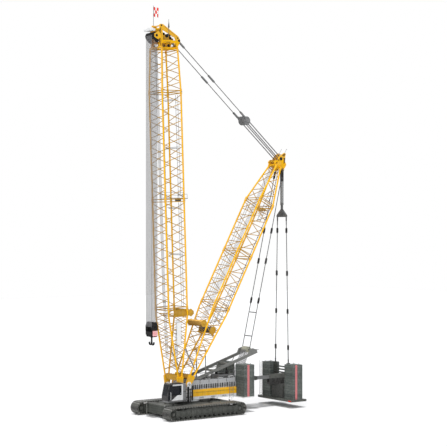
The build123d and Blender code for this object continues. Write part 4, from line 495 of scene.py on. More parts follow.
def finished(name, slot, paint, dust, dust_amount, mottle, roughness, wear=0.0, bare=(0.3, 0.29, 0.28),
             metallic=0.0, bump=0.15, bump_size=0.002, gloss=0.18, over=None):
    """A weathered surface whose worn edges show the bare metal.

    The paint may be a function of the place, and over(t, colour, height) may change what lies over it.
    """
    material, t, shader = new_material(name, slot)
    if callable(paint):
        paint = paint(t, *t.parts(t.place()))
    worn = t.use(WEATHERING, Paint=paint, Dust=dust, Dust_amount=dust_amount, Mottle=mottle, Roughness=roughness)
    colour, height = worn["Colour"], worn["Height"]
    if wear:
        colour = t.mix(t.use(EDGE_WEAR, Amount=wear, Scale=24.0)["Mask"], colour, bare)
    if over:
        colour, height = over(t, colour, height)
    relief = t.node("Bump", {"Strength": bump, "Distance": bump_size, "Height": height}).outputs[0]
    t.fill(shader, Base_Color=colour, Roughness=worn["Roughness"], Metallic=metallic,
           Specular_IOR_Level=gloss, Normal=relief)
    return material


def painted(name, slot, choose):
    """A weathered paint whose colour choose(t, x, y, z) works out from the place on the object."""
    return finished(name, slot, choose, DUST, 0.14, 0.07, 0.42, wear=0.25)


def zones(top_colour, bands, ahead=None):
    """Paint in level bands, each (upper height, colour), from the lowest up; ahead of an x there is one colour."""
    def choose(t, x, y, z):
        colour = t.node("RGB").outputs[0]
        colour.default_value = (*top_colour, 1.0)
        for top, paint in reversed(bands):
            colour = t.mix(t.less_than(z, top), colour, paint)
        return t.mix(t.greater_than(x, ahead[0]), colour, ahead[1]) if ahead else colour
    return choose


def cab_zones(t, x, y, z):
    """Light panels, black at the front, round the windows down to a slanted sill, and on the roof edge."""
    front = t.greater_than(t.multiply_add(z, 0.16, x), 3.02)
    over_sill = t.greater_than(t.multiply_add(x, 0.667, z), 3.25)
    belt = t.multiply(t.multiply(over_sill, t.less_than(z, 2.47)), t.greater_than(x, 1.90))
    black = t.maximum(t.maximum(front, belt), t.greater_than(z, 2.585))
    return t.mix(black, LIGHT_PAINT, (0.010, 0.010, 0.013))


def shoe_gap_shade_and_highlight(t, x, y, z):
    """Track steel with painted shade in the gap and a painted highlight band at each shoe."""
    share = t.fract(t.multiply_add(x, SHOE_COUNT / SHOE_RUN, SHOE_COUNT / 2))
    colour = t.mix(t.less_than(share, 0.24), (0.060, 0.063, 0.056), (0.006, 0.006, 0.006))
    return t.mix(t.compare(share, 0.36, 0.11), colour, (0.20, 0.20, 0.185))


def lattice_chords_and_lacing_shade(t, x, y, z):
    """Yellow that is bright on an arm's four chords, with painted shade darkening its lacing, by the distance from its
    axis.
    """
    masks = []
    for place, sizes in ((BOOM, BOOM_SIZES), (DERRICK, DERRICK_SIZES)):
        (px, _, pz), (c, _, s) = place.origin, place.axes[2]
        along = t.subtract(t.multiply_add(x, c, t.multiply(z, s)), px * c + pz * s)
        out = t.absolute(t.subtract(t.multiply_add(x, s, t.multiply(z, -c)), px * s - pz * c))
        stations = (PAINT_START, *sizes[0][1:])
        near = []
        for offset, values in ((out, (PAINT_DEPTH, *sizes[1][1:])), (t.absolute(y), sizes[2])):
            size = None
            for s0, s1, a, b in zip(stations, stations[1:], values, values[1:]):
                slope = (b - a) / (s1 - s0)
                line = t.multiply_add(along, slope, a - slope * s0)
                size = line if size is None else t.minimum(size, line)
            near.append(t.less_than(t.absolute(t.subtract(offset, size)), PAINT_REACH))
        solid = t.maximum(t.less_than(along, stations[0]), t.greater_than(along, stations[-1]))
        masks.append(t.maximum(t.multiply(*near), solid))
    boom_side = t.greater_than(t.multiply_add(z, 0.20, x), 1.45)
    picked = t.add(t.multiply(boom_side, masks[0]), t.multiply(t.subtract(1.0, boom_side), masks[1]))
    # the lacing colour is painted shade; the chords keep the bright yellow
    return t.mix(picked, (0.46, 0.245, 0.004), (0.86, 0.455, 0.0))


def wire_rope(name, paint):
    """Greased wire rope: lay of its strands as bump, with painted shade darkening the valleys."""
    def valley_shade(t, colour, height):
        # painted shade in the valleys between strands
        lay = t.use(STRANDS, Pitch=0.04)
        return t.mix(t.multiply(lay["Valley"], 0.55), colour, SOOT), lay["Height"]
    return finished(name, "rope_steel", paint, SOOT, 0.35, 0.2, 0.42, metallic=0.6, bump=0.6, bump_size=0.004,
                    over=valley_shade)


def striped_slabs(name, stripe_x):
    """Painted concrete slabs, each a little different, with dark seams and a band of red tape at one x."""
    def striped(t, colour, height):
        x, y, z = t.parts(t.place())
        facing = t.parts(t.node("NewGeometry").outputs["Normal"])[1]
        layer = t.divide(z, SLAB)
        tone = t.node("TexWhiteNoise", {"W": t.floor(layer)}, noise_dimensions="1D").outputs["Value"]
        dim = t.multiply_add(t.less_than(t.fract(layer), 0.09), -0.45, 1.0)
        shade = t.multiply(t.multiply_add(tone, 0.5, 0.78), dim)
        bands = t.use(BANDS, Pitch=0.13, Slant_x=0.9, Slant_y=0.9)["Mask"]
        tape = t.mix(bands, (0.66, 0.27, 0.275), (0.52, 0.11, 0.12))
        faced = t.greater_than(t.multiply(facing, t.sign(y)), 0.7)
        return t.mix(t.multiply(t.compare(x, stripe_x, 0.10), faced), t.scaled(colour, shade), tape), height
    return finished(name, "dark_paint", (0.060, 0.076, 0.068), (0.20, 0.19, 0.17), 0.2, 0.35, 0.7, wear=0.4,
                    bare=(0.30, 0.30, 0.29), bump=0.35, bump_size=0.006, over=striped)


def netted(t, colour, height):
    """A net of dark openings between the bars of a grating."""
    open_x, open_y = (t.greater_than(t.fract(t.divide(value, 0.05)), 0.28) for value in t.parts(t.place())[:2])
    return t.mix(t.multiply(t.multiply(open_x, open_y), 0.8), colour, SOOT), height


def checked_cloth(name):
    """Woven cloth in a pattern of red and white squares that follows its UV map."""
    material, t, shader = new_material(name, "flag_cloth")
    chart = t.node("UVMap", uv_map="UVMap").outputs[0]
    checks = t.node("TexChecker", {"Vector": chart, "Scale": 3.0,
                                   "Color1": (0.92, 0.9, 0.88), "Color2": (0.80, 0.03, 0.02)}).outputs["Color"]
    weave = t.node("TexNoise", {"Vector": chart, "Scale": 300.0}).outputs["Fac"]
    relief = t.node("Bump", {"Strength": 0.3, "Distance": 0.002, "Height": weave}).outputs[0]
    colour = t.scaled(checks, t.multiply_add(t.noise(chart, 5.0), 0.3, 0.85))
    t.fill(shader, Base_Color=colour, Roughness=0.8, Sheen_Weight=0.3, Normal=relief)
    return material


def glass(name, tint, roughness):
    """Tinted glass with a film of dust that dulls it in patches."""
    material, t, shader = new_material(name, "cab_glass")
    film = t.use(WEATHERING, Paint=tint, Dust=DUST, Dust_amount=0.05, Mottle=0.1, Roughness=roughness)
    t.fill(shader, Base_Color=film["Colour"], Roughness=film["Roughness"], Specular_IOR_Level=0.12,
           Coat_Weight=0.04, Alpha=0.93)
    return material


def hatched_panel(name):
    """A warning panel in red and white squares that stand on their corners."""
    material, t, shader = new_material(name, "dark_paint")
    masks = [t.use(BANDS, Pitch=0.19, Slant_x=slant, Slant_y=0.0)["Mask"] for slant in (1.0, -1.0)]
    paint = t.mix(t.compare(*masks, 0.1), (0.86, 0.80, 0.80), (0.80, 0.0, 0.02))
    worn = t.use(WEATHERING, Paint=paint, Dust=SOOT, Dust_amount=0.1, Mottle=0.08, Roughness=0.35)
    t.fill(shader, Base_Color=worn["Colour"], Roughness=worn["Roughness"])
    return material


YELLOW = painted("lattice_yellow", "yellow_paint", lattice_chords_and_lacing_shade)
DEEP_YELLOW = finished("shaded_yellow", "yellow_paint", (0.58, 0.31, 0.0), (0.20, 0.12, 0.02), 0.3, 0.12, 0.5, 0.3)
TRACK_STEEL = finished("track_steel", "dark_paint", (0.036, 0.039, 0.034), (0.17, 0.17, 0.15), 0.6, 0.6, 0.62, 0.8,
                       (0.22, 0.22, 0.21), metallic=0.2, bump=0.4, bump_size=0.004)
CHASSIS = finished("chassis_grey", "dark_paint", (0.050, 0.054, 0.047), (0.16, 0.16, 0.145), 0.4, 0.25, 0.55, 0.4,
                   (0.22, 0.22, 0.21), bump=0.25)
MID_GREY = finished("machine_grey", "grey_paint", (0.18, 0.185, 0.19), DUST, 0.15, 0.16, 0.45, 0.35)
DARK = finished("dark_paint", "dark_paint", (0.008, 0.008, 0.009), (0.035, 0.033, 0.03), 0.2, 0.2, 0.5, 0.1,
                gloss=0.06)
STEEL_GREY = finished("arm_grey", "grey_paint", (0.17, 0.175, 0.165), DUST, 0.15, 0.18, 0.5, 0.35)
LIGHT = finished("light_paint", "light_paint", LIGHT_PAINT, (0.42, 0.40, 0.37), 0.15, 0.05, 0.4, 0.2)
PALE = finished("pale_casting", "grey_paint", (0.47, 0.47, 0.37), (0.2, 0.19, 0.15), 0.3, 0.14, 0.5, 0.4)
BARE = finished("machined_steel", "sheave_steel", (0.35, 0.35, 0.34), SOOT, 0.25, 0.18, 0.35, metallic=0.7)
SHEAVE = finished("sheave_iron", "sheave_steel", (0.018, 0.018, 0.018), (0.04, 0.036, 0.03), 0.3, 0.25, 0.45, 0.35,
                  (0.25, 0.25, 0.24), metallic=0.3)
# track shoes: the black gaps are painted shade, the bright bands a painted highlight
SHOES = painted("track_shoes", "dark_paint", shoe_gap_shade_and_highlight)
WORN_STEEL = finished("worn_steel", "dark_paint", (0.15, 0.15, 0.135), (0.05, 0.05, 0.045), 0.5, 0.5, 0.5, 0.6,
                      metallic=0.3, bump=0.3)
# dark brown for sheets on the head cheeks that paint the shade of openings: painted shade
SHADED = finished("shade_brown", "yellow_paint", (0.16, 0.075, 0.004), (0.10, 0.06, 0.02), 0.3, 0.2, 0.6, 0.15,
                  gloss=0.08)
# a darker grey on the centre ballast that paints its shade: painted shade
SHADE_GREY = finished("painted_shade_grey", "dark_paint", (0.030, 0.033, 0.030), (0.08, 0.08, 0.07), 0.4, 0.3, 0.6, 0.3,
                    gloss=0.1)
BAR_GREY = finished("bar_grey", "grey_paint", (0.085, 0.088, 0.09), SOOT, 0.15, 0.2, 0.5, 0.25)
STAY = finished("stay_steel", "stay_steel", (0.040, 0.042, 0.044), SOOT, 0.15, 0.2, 0.5, 0.25, metallic=0.2)
RUBBER = finished("hose_rubber", "dark_paint", (0.018, 0.018, 0.018), (0.06, 0.057, 0.05), 0.25, 0.2, 0.6)
SEAT = finished("seat_cover", "seat_cover", (0.035, 0.036, 0.04), (0.1, 0.1, 0.09), 0.15, 0.15, 0.7, bump=0.5)
SIGN = finished("blank_sign", "light_paint", (0.88, 0.88, 0.87), (0.4, 0.39, 0.35), 0.12, 0.04, 0.4, 0.15)
RED = finished("signal_red", "dark_paint", (0.62, 0.03, 0.02), SOOT, 0.12, 0.08, 0.35)
GLASS = glass("tinted_glass", (0.012, 0.014, 0.018), 0.08)
LENS = glass("lamp_lens", (0.55, 0.56, 0.54), 0.15)
GRATING = finished("grating", "grey_paint", (0.36, 0.37, 0.38), DUST, 0.3, 0.2, 0.5, metallic=0.5, over=netted)
ROPE = wire_rope("hoist_wire_rope", (0.26, 0.26, 0.27))
DRUM_ROPE = wire_rope("drum_wire_rope", (0.42, 0.24, 0.05))
HOUSE = painted("house_bands", "house_paint", zones(
    (0.44, 0.45, 0.46),
    [(1.42, LIGHT_PAINT), (1.70, BAND_YELLOW), (1.72, (0.08, 0.05, 0.02)), (1.95, BAND_YELLOW)],
    ahead=(0.36, LIGHT_PAINT),
))
BARS = painted("bar_steel", "stay_steel", zones((0.02, 0.021, 0.023), [(17.85, (0.30, 0.31, 0.31))]))
CAB_PAINT = painted("cab_panels", "light_paint", cab_zones)
FORK_PAINT = painted("fork_bands", "dark_paint", zones((0.10, 0.105, 0.095), [(2.22, (0.016, 0.016, 0.016))]))
STACKS = striped_slabs("counterweight_slabs", -4.285)
TRAY_STACKS = striped_slabs("ballast_slabs", -8.85)
FLAG = checked_cloth("flag_cloth")
HATCHED = hatched_panel("hatched_panel")

NODE_MATERIALS = {
    SHOES: "track_left track_right",
    CHASSIS: "crawler_frame_left crawler_frame_right carbody central_ballast ballast_pallet guide_beam_outer",
    SHADE_GREY: "centre_ballast",
    SHEAVE: "slew_ring boom_head_sheaves",
    HOUSE: "superstructure_frame side_decks",
    CAB_PAINT: "cab_shell cab_door",
    FORK_PAINT: "ballast_frame",
    BAR_GREY: "equalizer",
    MID_GREY: "engine_block floating_block hoist_winches cab_bracket head_masts boom_platform "
              "guide_beam_inner boom_backstops",
    STACKS: "counterweight_stacks",
    TRAY_STACKS: "ballast_stacks",
    GLASS: "cab_glass cab_door_glass",
    YELLOW: "boom_foot_section boom_section_1 boom_section_2 boom_top_section boom_head "
            "derrick_foot_section derrick_section_1 derrick_section_2 derrick_top_section derrick_head",
    DEEP_YELLOW: "boom_winch derrick_winch",
    SIGN: "boom_sign",
    STAY: "boom_pendants rear_pendants ballast_strands derrick_backstop_rods",
    DARK: "hook_block hook",
    BARS: "suspension_bars",
    STEEL_GREY: "gantry derrick_backstop_tubes",
    PALE: "gantry_pulleys",
    ROPE: "hoist_ropes luffing_ropes gantry_ropes",
    SEAT: "cab_seat",
    FLAG: "warning_flag",
}
for material, names in NODE_MATERIALS.items():
    for name in names.split():
        NODES[name].data.materials.clear()
        NODES[name].data.materials.append(material)

# ---------------------------------------------------------------- undercarriage
LOWER, UPPER = "undercarriage", "superstructure"
TRACK_Y, WHEELS_X, WHEEL_Z, ROLLER_Z = 2.2, (-3.0, 3.0), 0.5, 0.165
SHOE_PITCH = SHOE_RUN / SHOE_COUNT


def track_pieces(side, name):
    """Wheel hubs, rollers, pins, guide lugs and bolts of one track and its side frame."""
    y, axis = side * TRACK_Y, (0, side, 0)
    face = y + side * 0.315
    rims = [(0, -0.30), (0.10, -0.30), (0.12, -0.27), (0.17, -0.26), (0.30, -0.22), (0.335, -0.22),
            (0.335, 0.22), (0.30, 0.22), (0.17, 0.26), (0.12, 0.27), (0.10, 0.335), (0, 0.345)]
    roller = [(0, -0.34), (0.05, -0.34), (0.05, -0.31), (0.10, -0.3), (0.10, 0.3), (0.05, 0.31), (0.05, 0.345),
              (0, 0.35)]
    rollers_x = np.linspace(-2.52, 2.52, 13)
    wheels = [
        lathe([(x, y, WHEEL_Z) for x in WHEELS_X], axis, rims, 32),
        lathe([(x, y, ROLLER_Z) for x in rollers_x], axis, roller, 20),
    ]
    wheels += [bolt_circle((x, y + side * 0.262, WHEEL_Z), axis, 0.145, 10, 0.014, 0.016) for x in WHEELS_X]
    wheels += [bolt_circle((x, y + side * 0.312, ROLLER_Z), axis, 0.034, 4, 0.007, 0.008) for x in rollers_x]
    piece(f"{name}_wheels", wheels, TRACK_STEEL, LOWER)
    # ribs across each shoe, top and bottom, and round the two ends
    straight = SHOE_PITCH * (np.arange(SHOE_COUNT) + 0.5) - SHOE_RUN / 2
    ribs = [
        blocks([(x + shift, y, z) for x in straight], (0.022, 0.96, 0.02), 0.004)
        for z in (0.988, 0.012) for shift in (-0.055, 0.055)
    ]
    for sign in (1, -1):
        x, z = arc((SHOE_RUN / 2, WHEEL_Z), 0.466, -80, 80, 11).T
        ends = WORLD(sign * x, y, z)
        ribs.append(rods(ends - 0.45 * Y_AXIS, ends + 0.45 * Y_AXIS, 0.016, 6))
    piece(f"{name}_grousers", ribs, WORN_STEEL, LOWER)
    # link pins and the ribs of the side frame
    pin = [(0, 0), (0.03, 0), (0.03, 0.008), (0.018, 0.012), (0, 0.012)]
    x = np.linspace(-2.35, 2.35, 11)
    rail_bolts = [(px, face + side * 0.004, z) for px in np.linspace(-2.5, 2.5, 24) for z in (0.33, 0.665)]
    frame_parts = [
        lathe([(px, y + side * 0.488, z) for px in straight for z in (0.905, 0.095)], axis, pin, 8),
        spans(WORLD(x - 0.012, face, 0.30), WORLD(x + 0.012, face + side * 0.05, 0.70), 0.004),
        *[spans((-2.6, face, z), (2.6, face + side * 0.045, z + 0.03), 0.004) for z in (0.27, 0.70)],
        bolts(rail_bolts, axis, 0.011, 0.012),
        *[plates(WORLD, arc((px, WHEEL_Z), 0.085, 0, 330, 12), [face + side * 0.008], 0.016) for px in (-1.41, 1.41)],
    ]
    piece(f"{name}_frame_ribs", frame_parts, CHASSIS, LOWER)
    lugs = [plates(WORLD, lug(px, 0.80, 0.065, 0.745, 0.1), [y + side * 0.2], 0.03) for px in (-2.1, 2.1)]
    piece(f"{name}_lifting_lugs", lugs, CHASSIS, LOWER)


track_pieces(1, "left_track")
track_pieces(-1, "right_track")

# carbody: flanges along the cross beams, gussets round the ring, and bolts
deck = high("carbody")[2]
ring_parts = [
    lathe((0, 0, deck), Z_AXIS, [(0.905, 0), (1.0, 0), (1.0, 0.03), (0.93, 0.035), (0.93, 0.075), (0.905, 0.08)], 72),
    bolt_circle((0, 0, deck + 0.03), Z_AXIS, 0.967, 48, 0.013, 0.014),
    *[spans((x - 0.23, -1.86, 0.775), (x + 0.23, 1.86, 0.80), 0.005) for x in (-1.14, 1.14)],
]
gusset = [(1.0, deck), (1.26, deck), (1.26, deck + 0.012), (1.02, deck + 0.035), (1.0, deck + 0.035)]
for angle in np.radians(np.arange(15, 360, 30)):
    c, s = math.cos(angle), math.sin(angle)
    if abs(c) * 1.26 < 1.34 and abs(s) * 1.26 < 1.14:
        ring_parts.append(plates(Place((0, 0, 0), (c, s, 0), Z_AXIS, (-s, c, 0)), gusset, [0], 0.016, 0.003))
piece("ring_flange", ring_parts, CHASSIS, LOWER)

# slabs and lugs on the carbody ballast
ballast_top = high("central_ballast")[2]
slab_lugs = []
for side in SIDES:
    for y in (-1.05, 0, 1.05):
        outline = lug(y, ballast_top + 0.06, 0.045, ballast_top, 0.08)
        slab_lugs.append(plates(FORWARD, outline, [side * 2.1 - 0.05, side * 2.1 + 0.05], 0.02, 0.003))
piece("carbody_ballast_lugs", slab_lugs, CHASSIS, LOWER)
seams = [
    spans((side * 2.846, -1.49, z - 0.006), (side * 2.852, 1.49, z + 0.006), 0.002)
    for side in SIDES for z in (0.45, 0.64, 0.80)
]
piece("carbody_ballast_seams", seams, DARK, LOWER)
steps = [spans((-0.25, side * 1.93 - 0.12, 0.84), (0.25, side * 1.93 + 0.12, 0.87), 0.006) for side in SIDES]
piece("track_steps", steps, GRATING, LOWER)
cap = [(0, 0.96), (0.05, 0.96), (0.075, 0.965), (0.075, 1.0), (0.045, 1.01), (0.045, 1.04), (0, 1.045)]
piece("jack_caps", [lathe([(x, y, 0) for x in (-2.94, 2.94) for y in (-1.25, 1.25)], Z_AXIS, cap, 16)], BARE, LOWER)

# ---------------------------------------------------------------- superstructure
deck_low, deck_high = low("side_decks"), high("side_decks")


def railing(points, height, name, body=UPPER):
    """Handrail over a path of points: top and middle rails, and a post with a foot at each point."""
    points = np.asarray(points, float)
    parts = [rods(points[:-1] + [0, 0, z], points[1:] + [0, 0, z], 0.012) for z in (height, height * 0.52)]
    parts.append(rods(points, points + [0, 0, height], 0.012))
    parts.append(spans(points - [0.03, 0.03, 0], points + [0.03, 0.03, 0.012]))
    piece(name, parts, MID_GREY, body)


def on_face(side, face, rise, boxes, chamfer, start=0.0):
    """Blocks on a wall: each box (x0, z0, x1, z1) stands out from the face by the rise."""
    y0, y1 = face + side * start, face + side * rise
    return [spans((x0, y0, z0), (x1, y1, z1), chamfer) for x0, z0, x1, z1 in boxes]


def side_deck_pieces(side, tag):
    """Doors, louvres, rails, ribs and a ladder along one side of the upper frame."""
    face, top = side * deck_high[1], deck_high[2]
    edges = np.linspace(deck_low[0] + 0.06, deck_high[0] - 0.06, 6)
    bays = list(zip(edges, edges[1:]))
    panels = [box for a, b in bays for box in (
        (a + 0.02, 2.135, b - 0.02, top - 0.03), (a + 0.02, deck_low[2] + 0.03, b - 0.02, 2.085))]
    handles = [(b - 0.10, z, b - 0.06, z + 0.03) for _, b in bays for z in (2.20, 1.97)]
    louvres = [(a + 0.10, z, b - 0.18, z + 0.010) for a, b in bays[::2] for z in np.linspace(1.95, 2.05, 5)]
    joint = [(deck_low[0] + 0.04, 2.095, deck_high[0] - 0.04, 2.125)]
    piece(f"side_deck_panels_{tag}", on_face(side, face, 0.012, panels, 0.004), HOUSE, UPPER)
    dark = on_face(side, face, 0.02, louvres, 0.002, 0.006) + on_face(side, face, 0.016, joint, 0.003, 0.001)
    piece(f"side_deck_louvres_{tag}", dark, DARK, UPPER)
    piece(f"side_deck_handles_{tag}", on_face(side, face, 0.022, handles, 0.003), BARE, UPPER)
    posts_x = np.linspace(deck_low[0] + 0.08, deck_high[0] - 0.08, 9)
    railing(WORLD(posts_x, side * (deck_high[1] - 0.03), top), 0.50, f"deck_rail_{tag}")
    tread = spans((deck_low[0] + 0.02, side * 0.57, top), (deck_high[0] - 0.02, side * 0.83, top + 0.008))
    piece(f"deck_tread_{tag}", [tread], GRATING, UPPER)
    # the light frame below: ribs, access doors, vents and a ladder
    wall = side * 0.85
    uprights = [(x - 0.012, 1.25, x + 0.012, 1.84) for x in np.linspace(-3.7, 0.3, 9)]
    hatches = [(-3.1, 1.36, -2.35, 1.72), (-2.05, 1.36, -1.3, 1.72), (-1.0, 1.36, -0.25, 1.72)]
    flanges = [(-3.84, 1.80, 1.3, 1.84), (-3.84, 1.22, 1.3, 1.25)]
    ribs = on_face(side, wall, 0.03, uprights, 0.004) + on_face(side, wall, 0.018, hatches, 0.006)
    ribs += on_face(side, wall, 0.035, flanges, 0.004)
    piece(f"frame_ribs_{tag}", ribs, HOUSE, UPPER, "light_paint")
    vents = [(x - 0.2, z, x + 0.2, z + 0.012) for x in (-2.72, -1.67, -0.62) for z in np.linspace(1.27, 1.35, 3)]
    piece(f"frame_vents_{tag}", on_face(side, wall, 0.026, vents, 0.002, 0.018), DARK, UPPER)
    stringers, rungs = np.array([-3.52, -3.18]), np.linspace(1.16, 2.28, 8)
    ladder_parts = [
        rods(WORLD(stringers, side * 0.93, 1.10), WORLD(stringers, side * 0.93, 2.36), 0.014),
        rods(WORLD(-3.52, side * 0.93, rungs), WORLD(-3.18, side * 0.93, rungs), 0.011),
    ]
    piece(f"deck_ladder_{tag}", ladder_parts, MID_GREY, UPPER)


for side, tag in TAGS.items():
    side_deck_pieces(side, tag)

# engine house: louvred doors, roof vents, exhaust, air filter and air tanks
engine_low, engine_high = low("engine_block"), high("engine_block")
doors, slots = [], []
door_edges = np.linspace(engine_low[0] + 0.05, engine_high[0] - 0.05, 4)
for side in SIDES:
    face = side * max(abs(engine_low[1]), abs(engine_high[1]))
    bays = list(zip(door_edges, door_edges[1:]))
    openings = [
        (a + 0.06, z, b - 0.06, z + 0.022) for a, b in bays
        for z in np.linspace(engine_low[2] + 0.6, engine_high[2] - 0.15, 7)
    ]
    leaves = [(a + 0.015, engine_low[2] + 0.5, b - 0.015, engine_high[2] - 0.05) for a, b in bays]
    doors += on_face(side, face, 0.014, leaves, 0.004)
    slots += on_face(side, face, 0.024, openings, 0.003, 0.014)
top = engine_high[2]
x = np.linspace(engine_low[0] + 0.12, engine_high[0] - 0.12, 9)
slots.append(spans(WORLD(x - 0.02, -0.38, top), WORLD(x + 0.02, 0.38, top + 0.018), 0.004))
piece("engine_doors", doors, MID_GREY, UPPER)
piece("engine_slots", slots, DARK, UPPER)
engine_x = middle("engine_block")[0]
pipe = [(0, 0), (0.085, 0), (0.09, 0.02), (0.09, 0.30), (0.07, 0.34), (0.04, 0.36), (0.04, 0.50), (0.034, 0.50),
        (0.034, 0.40), (0, 0.38)]
filter_pot = [(0, 0), (0.10, 0), (0.10, 0.2), (0.12, 0.21), (0.12, 0.25), (0.06, 0.29), (0, 0.30)]
exhaust = [lathe((engine_x - 0.25, 0.32, top), Z_AXIS, pipe), lathe((engine_x + 0.30, -0.30, top), Z_AXIS, filter_pot)]
piece("exhaust_and_filter", exhaust, DARK, UPPER)
tank = [(0, -0.26), (0.077, -0.255), (0.11, -0.22), (0.11, 0.22), (0.077, 0.255), (0, 0.26)]
tank_z = high("superstructure_frame")[2] + 0.14
piece("air_tanks", [lathe((0.10, y, tank_z), X_AXIS, tank, 28) for y in (-0.34, 0.34)], MID_GREY, UPPER)

# hoist winches: wound rope, and the housings of their drives
DRUM_Z = 2.24
WOUND = [(0.272, 0), (0.290, 0.008), (0.296, 0.016), (0.290, 0.024)]
winding = [(0.262, -0.36), *grooves(-0.352, 0.032, 22, WOUND), (0.272, 0.352), (0.262, 0.36)]
housing = [(0, 0), (0.20, 0), (0.20, 0.03), (0.14, 0.05), (0.12, 0.11), (0, 0.115)]
for x, tag in ((-1.95, "rear"), (-1.05, "front")):
    piece(f"{tag}_drum_rope", [lathe((x, 0, DRUM_Z), Y_AXIS, winding, 40)], ROPE, UPPER)
    drives = []
    for side in SIDES:
        drives.append(lathe((x, side * 0.385, DRUM_Z), (0, side, 0), housing, 28))
        drives.append(bolt_circle((x, side * 0.415, DRUM_Z), (0, side, 0), 0.175, 12, 0.010, 0.012))
    piece(f"{tag}_drum_drives", drives, MID_GREY, UPPER)

# ---------------------------------------------------------------- cab
CAB_X, CAB_Y, CAB_Z, LEAN = (1.70, 3.08), (1.02, 1.80), (1.40, 2.62), 0.2


def cab_front(z):
    """Front face of the cab at a height: it leans back from the sill to the roof."""
    return CAB_X[1] - LEAN * (z - CAB_Z[0]) / (CAB_Z[1] - CAB_Z[0])


def surround(outer, inner, place, offset, thickness):
    """A flat border between two outlines with the same corner count, as a ring of four skins."""
    outer, inner = np.asarray(outer, float), np.asarray(inner, float)
    levels = [(inner, 0), (outer, 0), (outer, thickness), (inner, thickness)]
    rings = np.stack([place(ring[:, 0], offset + rise, ring[:, 1]) for ring, rise in levels])
    index = np.arange(4 * len(outer)).reshape(4, -1)
    after, ahead = np.roll(index, -1, axis=0), np.roll(index, -1, axis=1)
    quads = np.stack([index, ahead, np.roll(after, -1, axis=1), after], -1)
    return rings.reshape(-1, 3), [quads.reshape(-1, 4)]


WINDSCREEN = Place((cab_front(0), 0, 0), Y_AXIS, (-LEAN / (CAB_Z[1] - CAB_Z[0]), 0, 1), X_AXIS)
borders = [
    surround(oblong(CAB_Y[0] + 0.015, CAB_Y[1] - 0.015, 1.52, 2.57),
             oblong(CAB_Y[0] + 0.075, CAB_Y[1] - 0.075, 1.60, 2.51), WINDSCREEN, 0.001, 0.007),
    plates(WORLD, [(2.70, 1.50), (3.045, 1.50), (2.875, 2.56), (2.70, 2.56)], [CAB_Y[1] + 0.005], 0.008, 0.003),
]
piece("cab_window_borders", borders, GLASS, UPPER)
wipers = [
    rods(WINDSCREEN(1.30, 0.016, 1.56), WINDSCREEN(1.52, 0.018, 2.18), 0.006),
    rods(WINDSCREEN(1.42, 0.018, 1.85), WINDSCREEN(1.60, 0.018, 2.45), 0.008),
    lathe(WINDSCREEN(1.30, 0.008, 1.56), X_AXIS, [(0, 0), (0.022, 0), (0.018, 0.02), (0, 0.022)], 16),
]
piece("cab_wiper", wipers, DARK, UPPER)
roof_trim = [
    spans((1.72, 1.79, 2.600), (2.90, 1.82, 2.615), 0.004),
    spans((1.75, 1.08, 2.62), (2.80, 1.74, 2.632), 0.006),
    spans((1.80, 1.16, 2.632), (2.32, 1.66, 2.672), 0.02),
]
piece("cab_roof_trim", roof_trim, CAB_PAINT, UPPER)
sills = [spans((1.72, 1.80, 1.41), (3.03, 1.814, 1.47), 0.004), spans((1.75, 1.80, 1.49), (1.84, 1.81, 1.99), 0.005)]
piece("cab_sill_panels", sills, CAB_PAINT, UPPER)
lamp = [(0, -0.05), (0.03, -0.05), (0.045, -0.02), (0.05, 0.03), (0.044, 0.035), (0, 0.035)]
lamp_x, lamps, lenses = cab_front(2.60), [], []
for y in (1.12, 1.70):
    lamps.append(lathe((lamp_x - 0.06, y, 2.67), X_AXIS, lamp, 20))
    lamps.append(rods((lamp_x - 0.07, y, 2.61), (lamp_x - 0.07, y, 2.66), 0.009))
    lens = [(0, 0.006), (0.025, 0.004), (0.042, 0), (0, -0.002)]
    lenses.append(lathe((lamp_x - 0.024, y, 2.67), X_AXIS, lens, 20))
piece("cab_work_lamps", lamps, DARK, UPPER)
piece("cab_lamp_lenses", lenses, LENS, UPPER)

# door: border round its pane, and a handle
door_low, door_high = low("cab_door"), high("cab_door")
pane_low, pane_high = low("cab_door_glass"), high("cab_door_glass")
outer = oblong(door_low[0] + 0.03, door_high[0] - 0.01, pane_low[2] - 0.05, pane_high[2] + 0.035)
inner = oblong(pane_low[0] + 0.02, pane_high[0] - 0.02, pane_low[2] + 0.02, pane_high[2] - 0.02)
piece("door_window_border", [surround(outer, inner, WORLD, door_high[1] + 0.001, 0.007)], GLASS, "cab_door")
x, y = door_high[0] - 0.10, door_high[1]
handle = [
    tube(bend((x, y, 1.62), (x, y + 0.035, 1.64), (x, y + 0.035, 1.86), (x, y, 1.88)), 0.008, 10),
    spans((x - 0.03, y, 1.54), (x + 0.03, y + 0.012, 1.60), 0.004),
]
piece("door_handle", handle, DARK, "cab_door")
mirror = [
    tube(bend((2.98, 1.80, 2.36), (3.03, 1.83, 2.38), (3.05, 1.845, 2.30)), 0.008),
    spans((3.035, 1.805, 2.08), (3.06, 1.885, 2.29), 0.01),
]
piece("cab_mirror", mirror, DARK, UPPER)


def cushion(name, centre, size, tilt, crown, body, replaces=None):
    """A padded form: a superellipsoid of the given size whose top is crowned and whose edges pull in."""
    v = np.linspace(-math.pi / 2, math.pi / 2, 40)[1:-1, None]
    u = np.linspace(-math.pi, math.pi, 64, endpoint=False)[None]
    cos_v, sin_v, cos_u, sin_u = (np.sign(a) * np.abs(a) ** 0.35 for a in (np.cos(v), np.sin(v), np.cos(u), np.sin(u)))
    x, y, z = cos_v * cos_u, cos_v * sin_u, sin_v * np.ones_like(u)
    swell = 1 + crown * (1 - x**2) * (1 - y**2)
    channel = 1 - 0.06 * np.exp(-((np.abs(x) - 0.45) / 0.035) ** 2) * (z > 0.2)
    points = np.stack([x * size[0] / 2, y * size[1] / 2, z * size[2] / 2 * swell * channel], -1)
    c, s = math.cos(tilt), math.sin(tilt)
    turned = points @ np.array([[c, 0, -s], [0, 1, 0], [s, 0, c]])
    made = piece(name, [shells((centre + turned)[None])], SEAT, body, smooth=80, replaces=replaces)


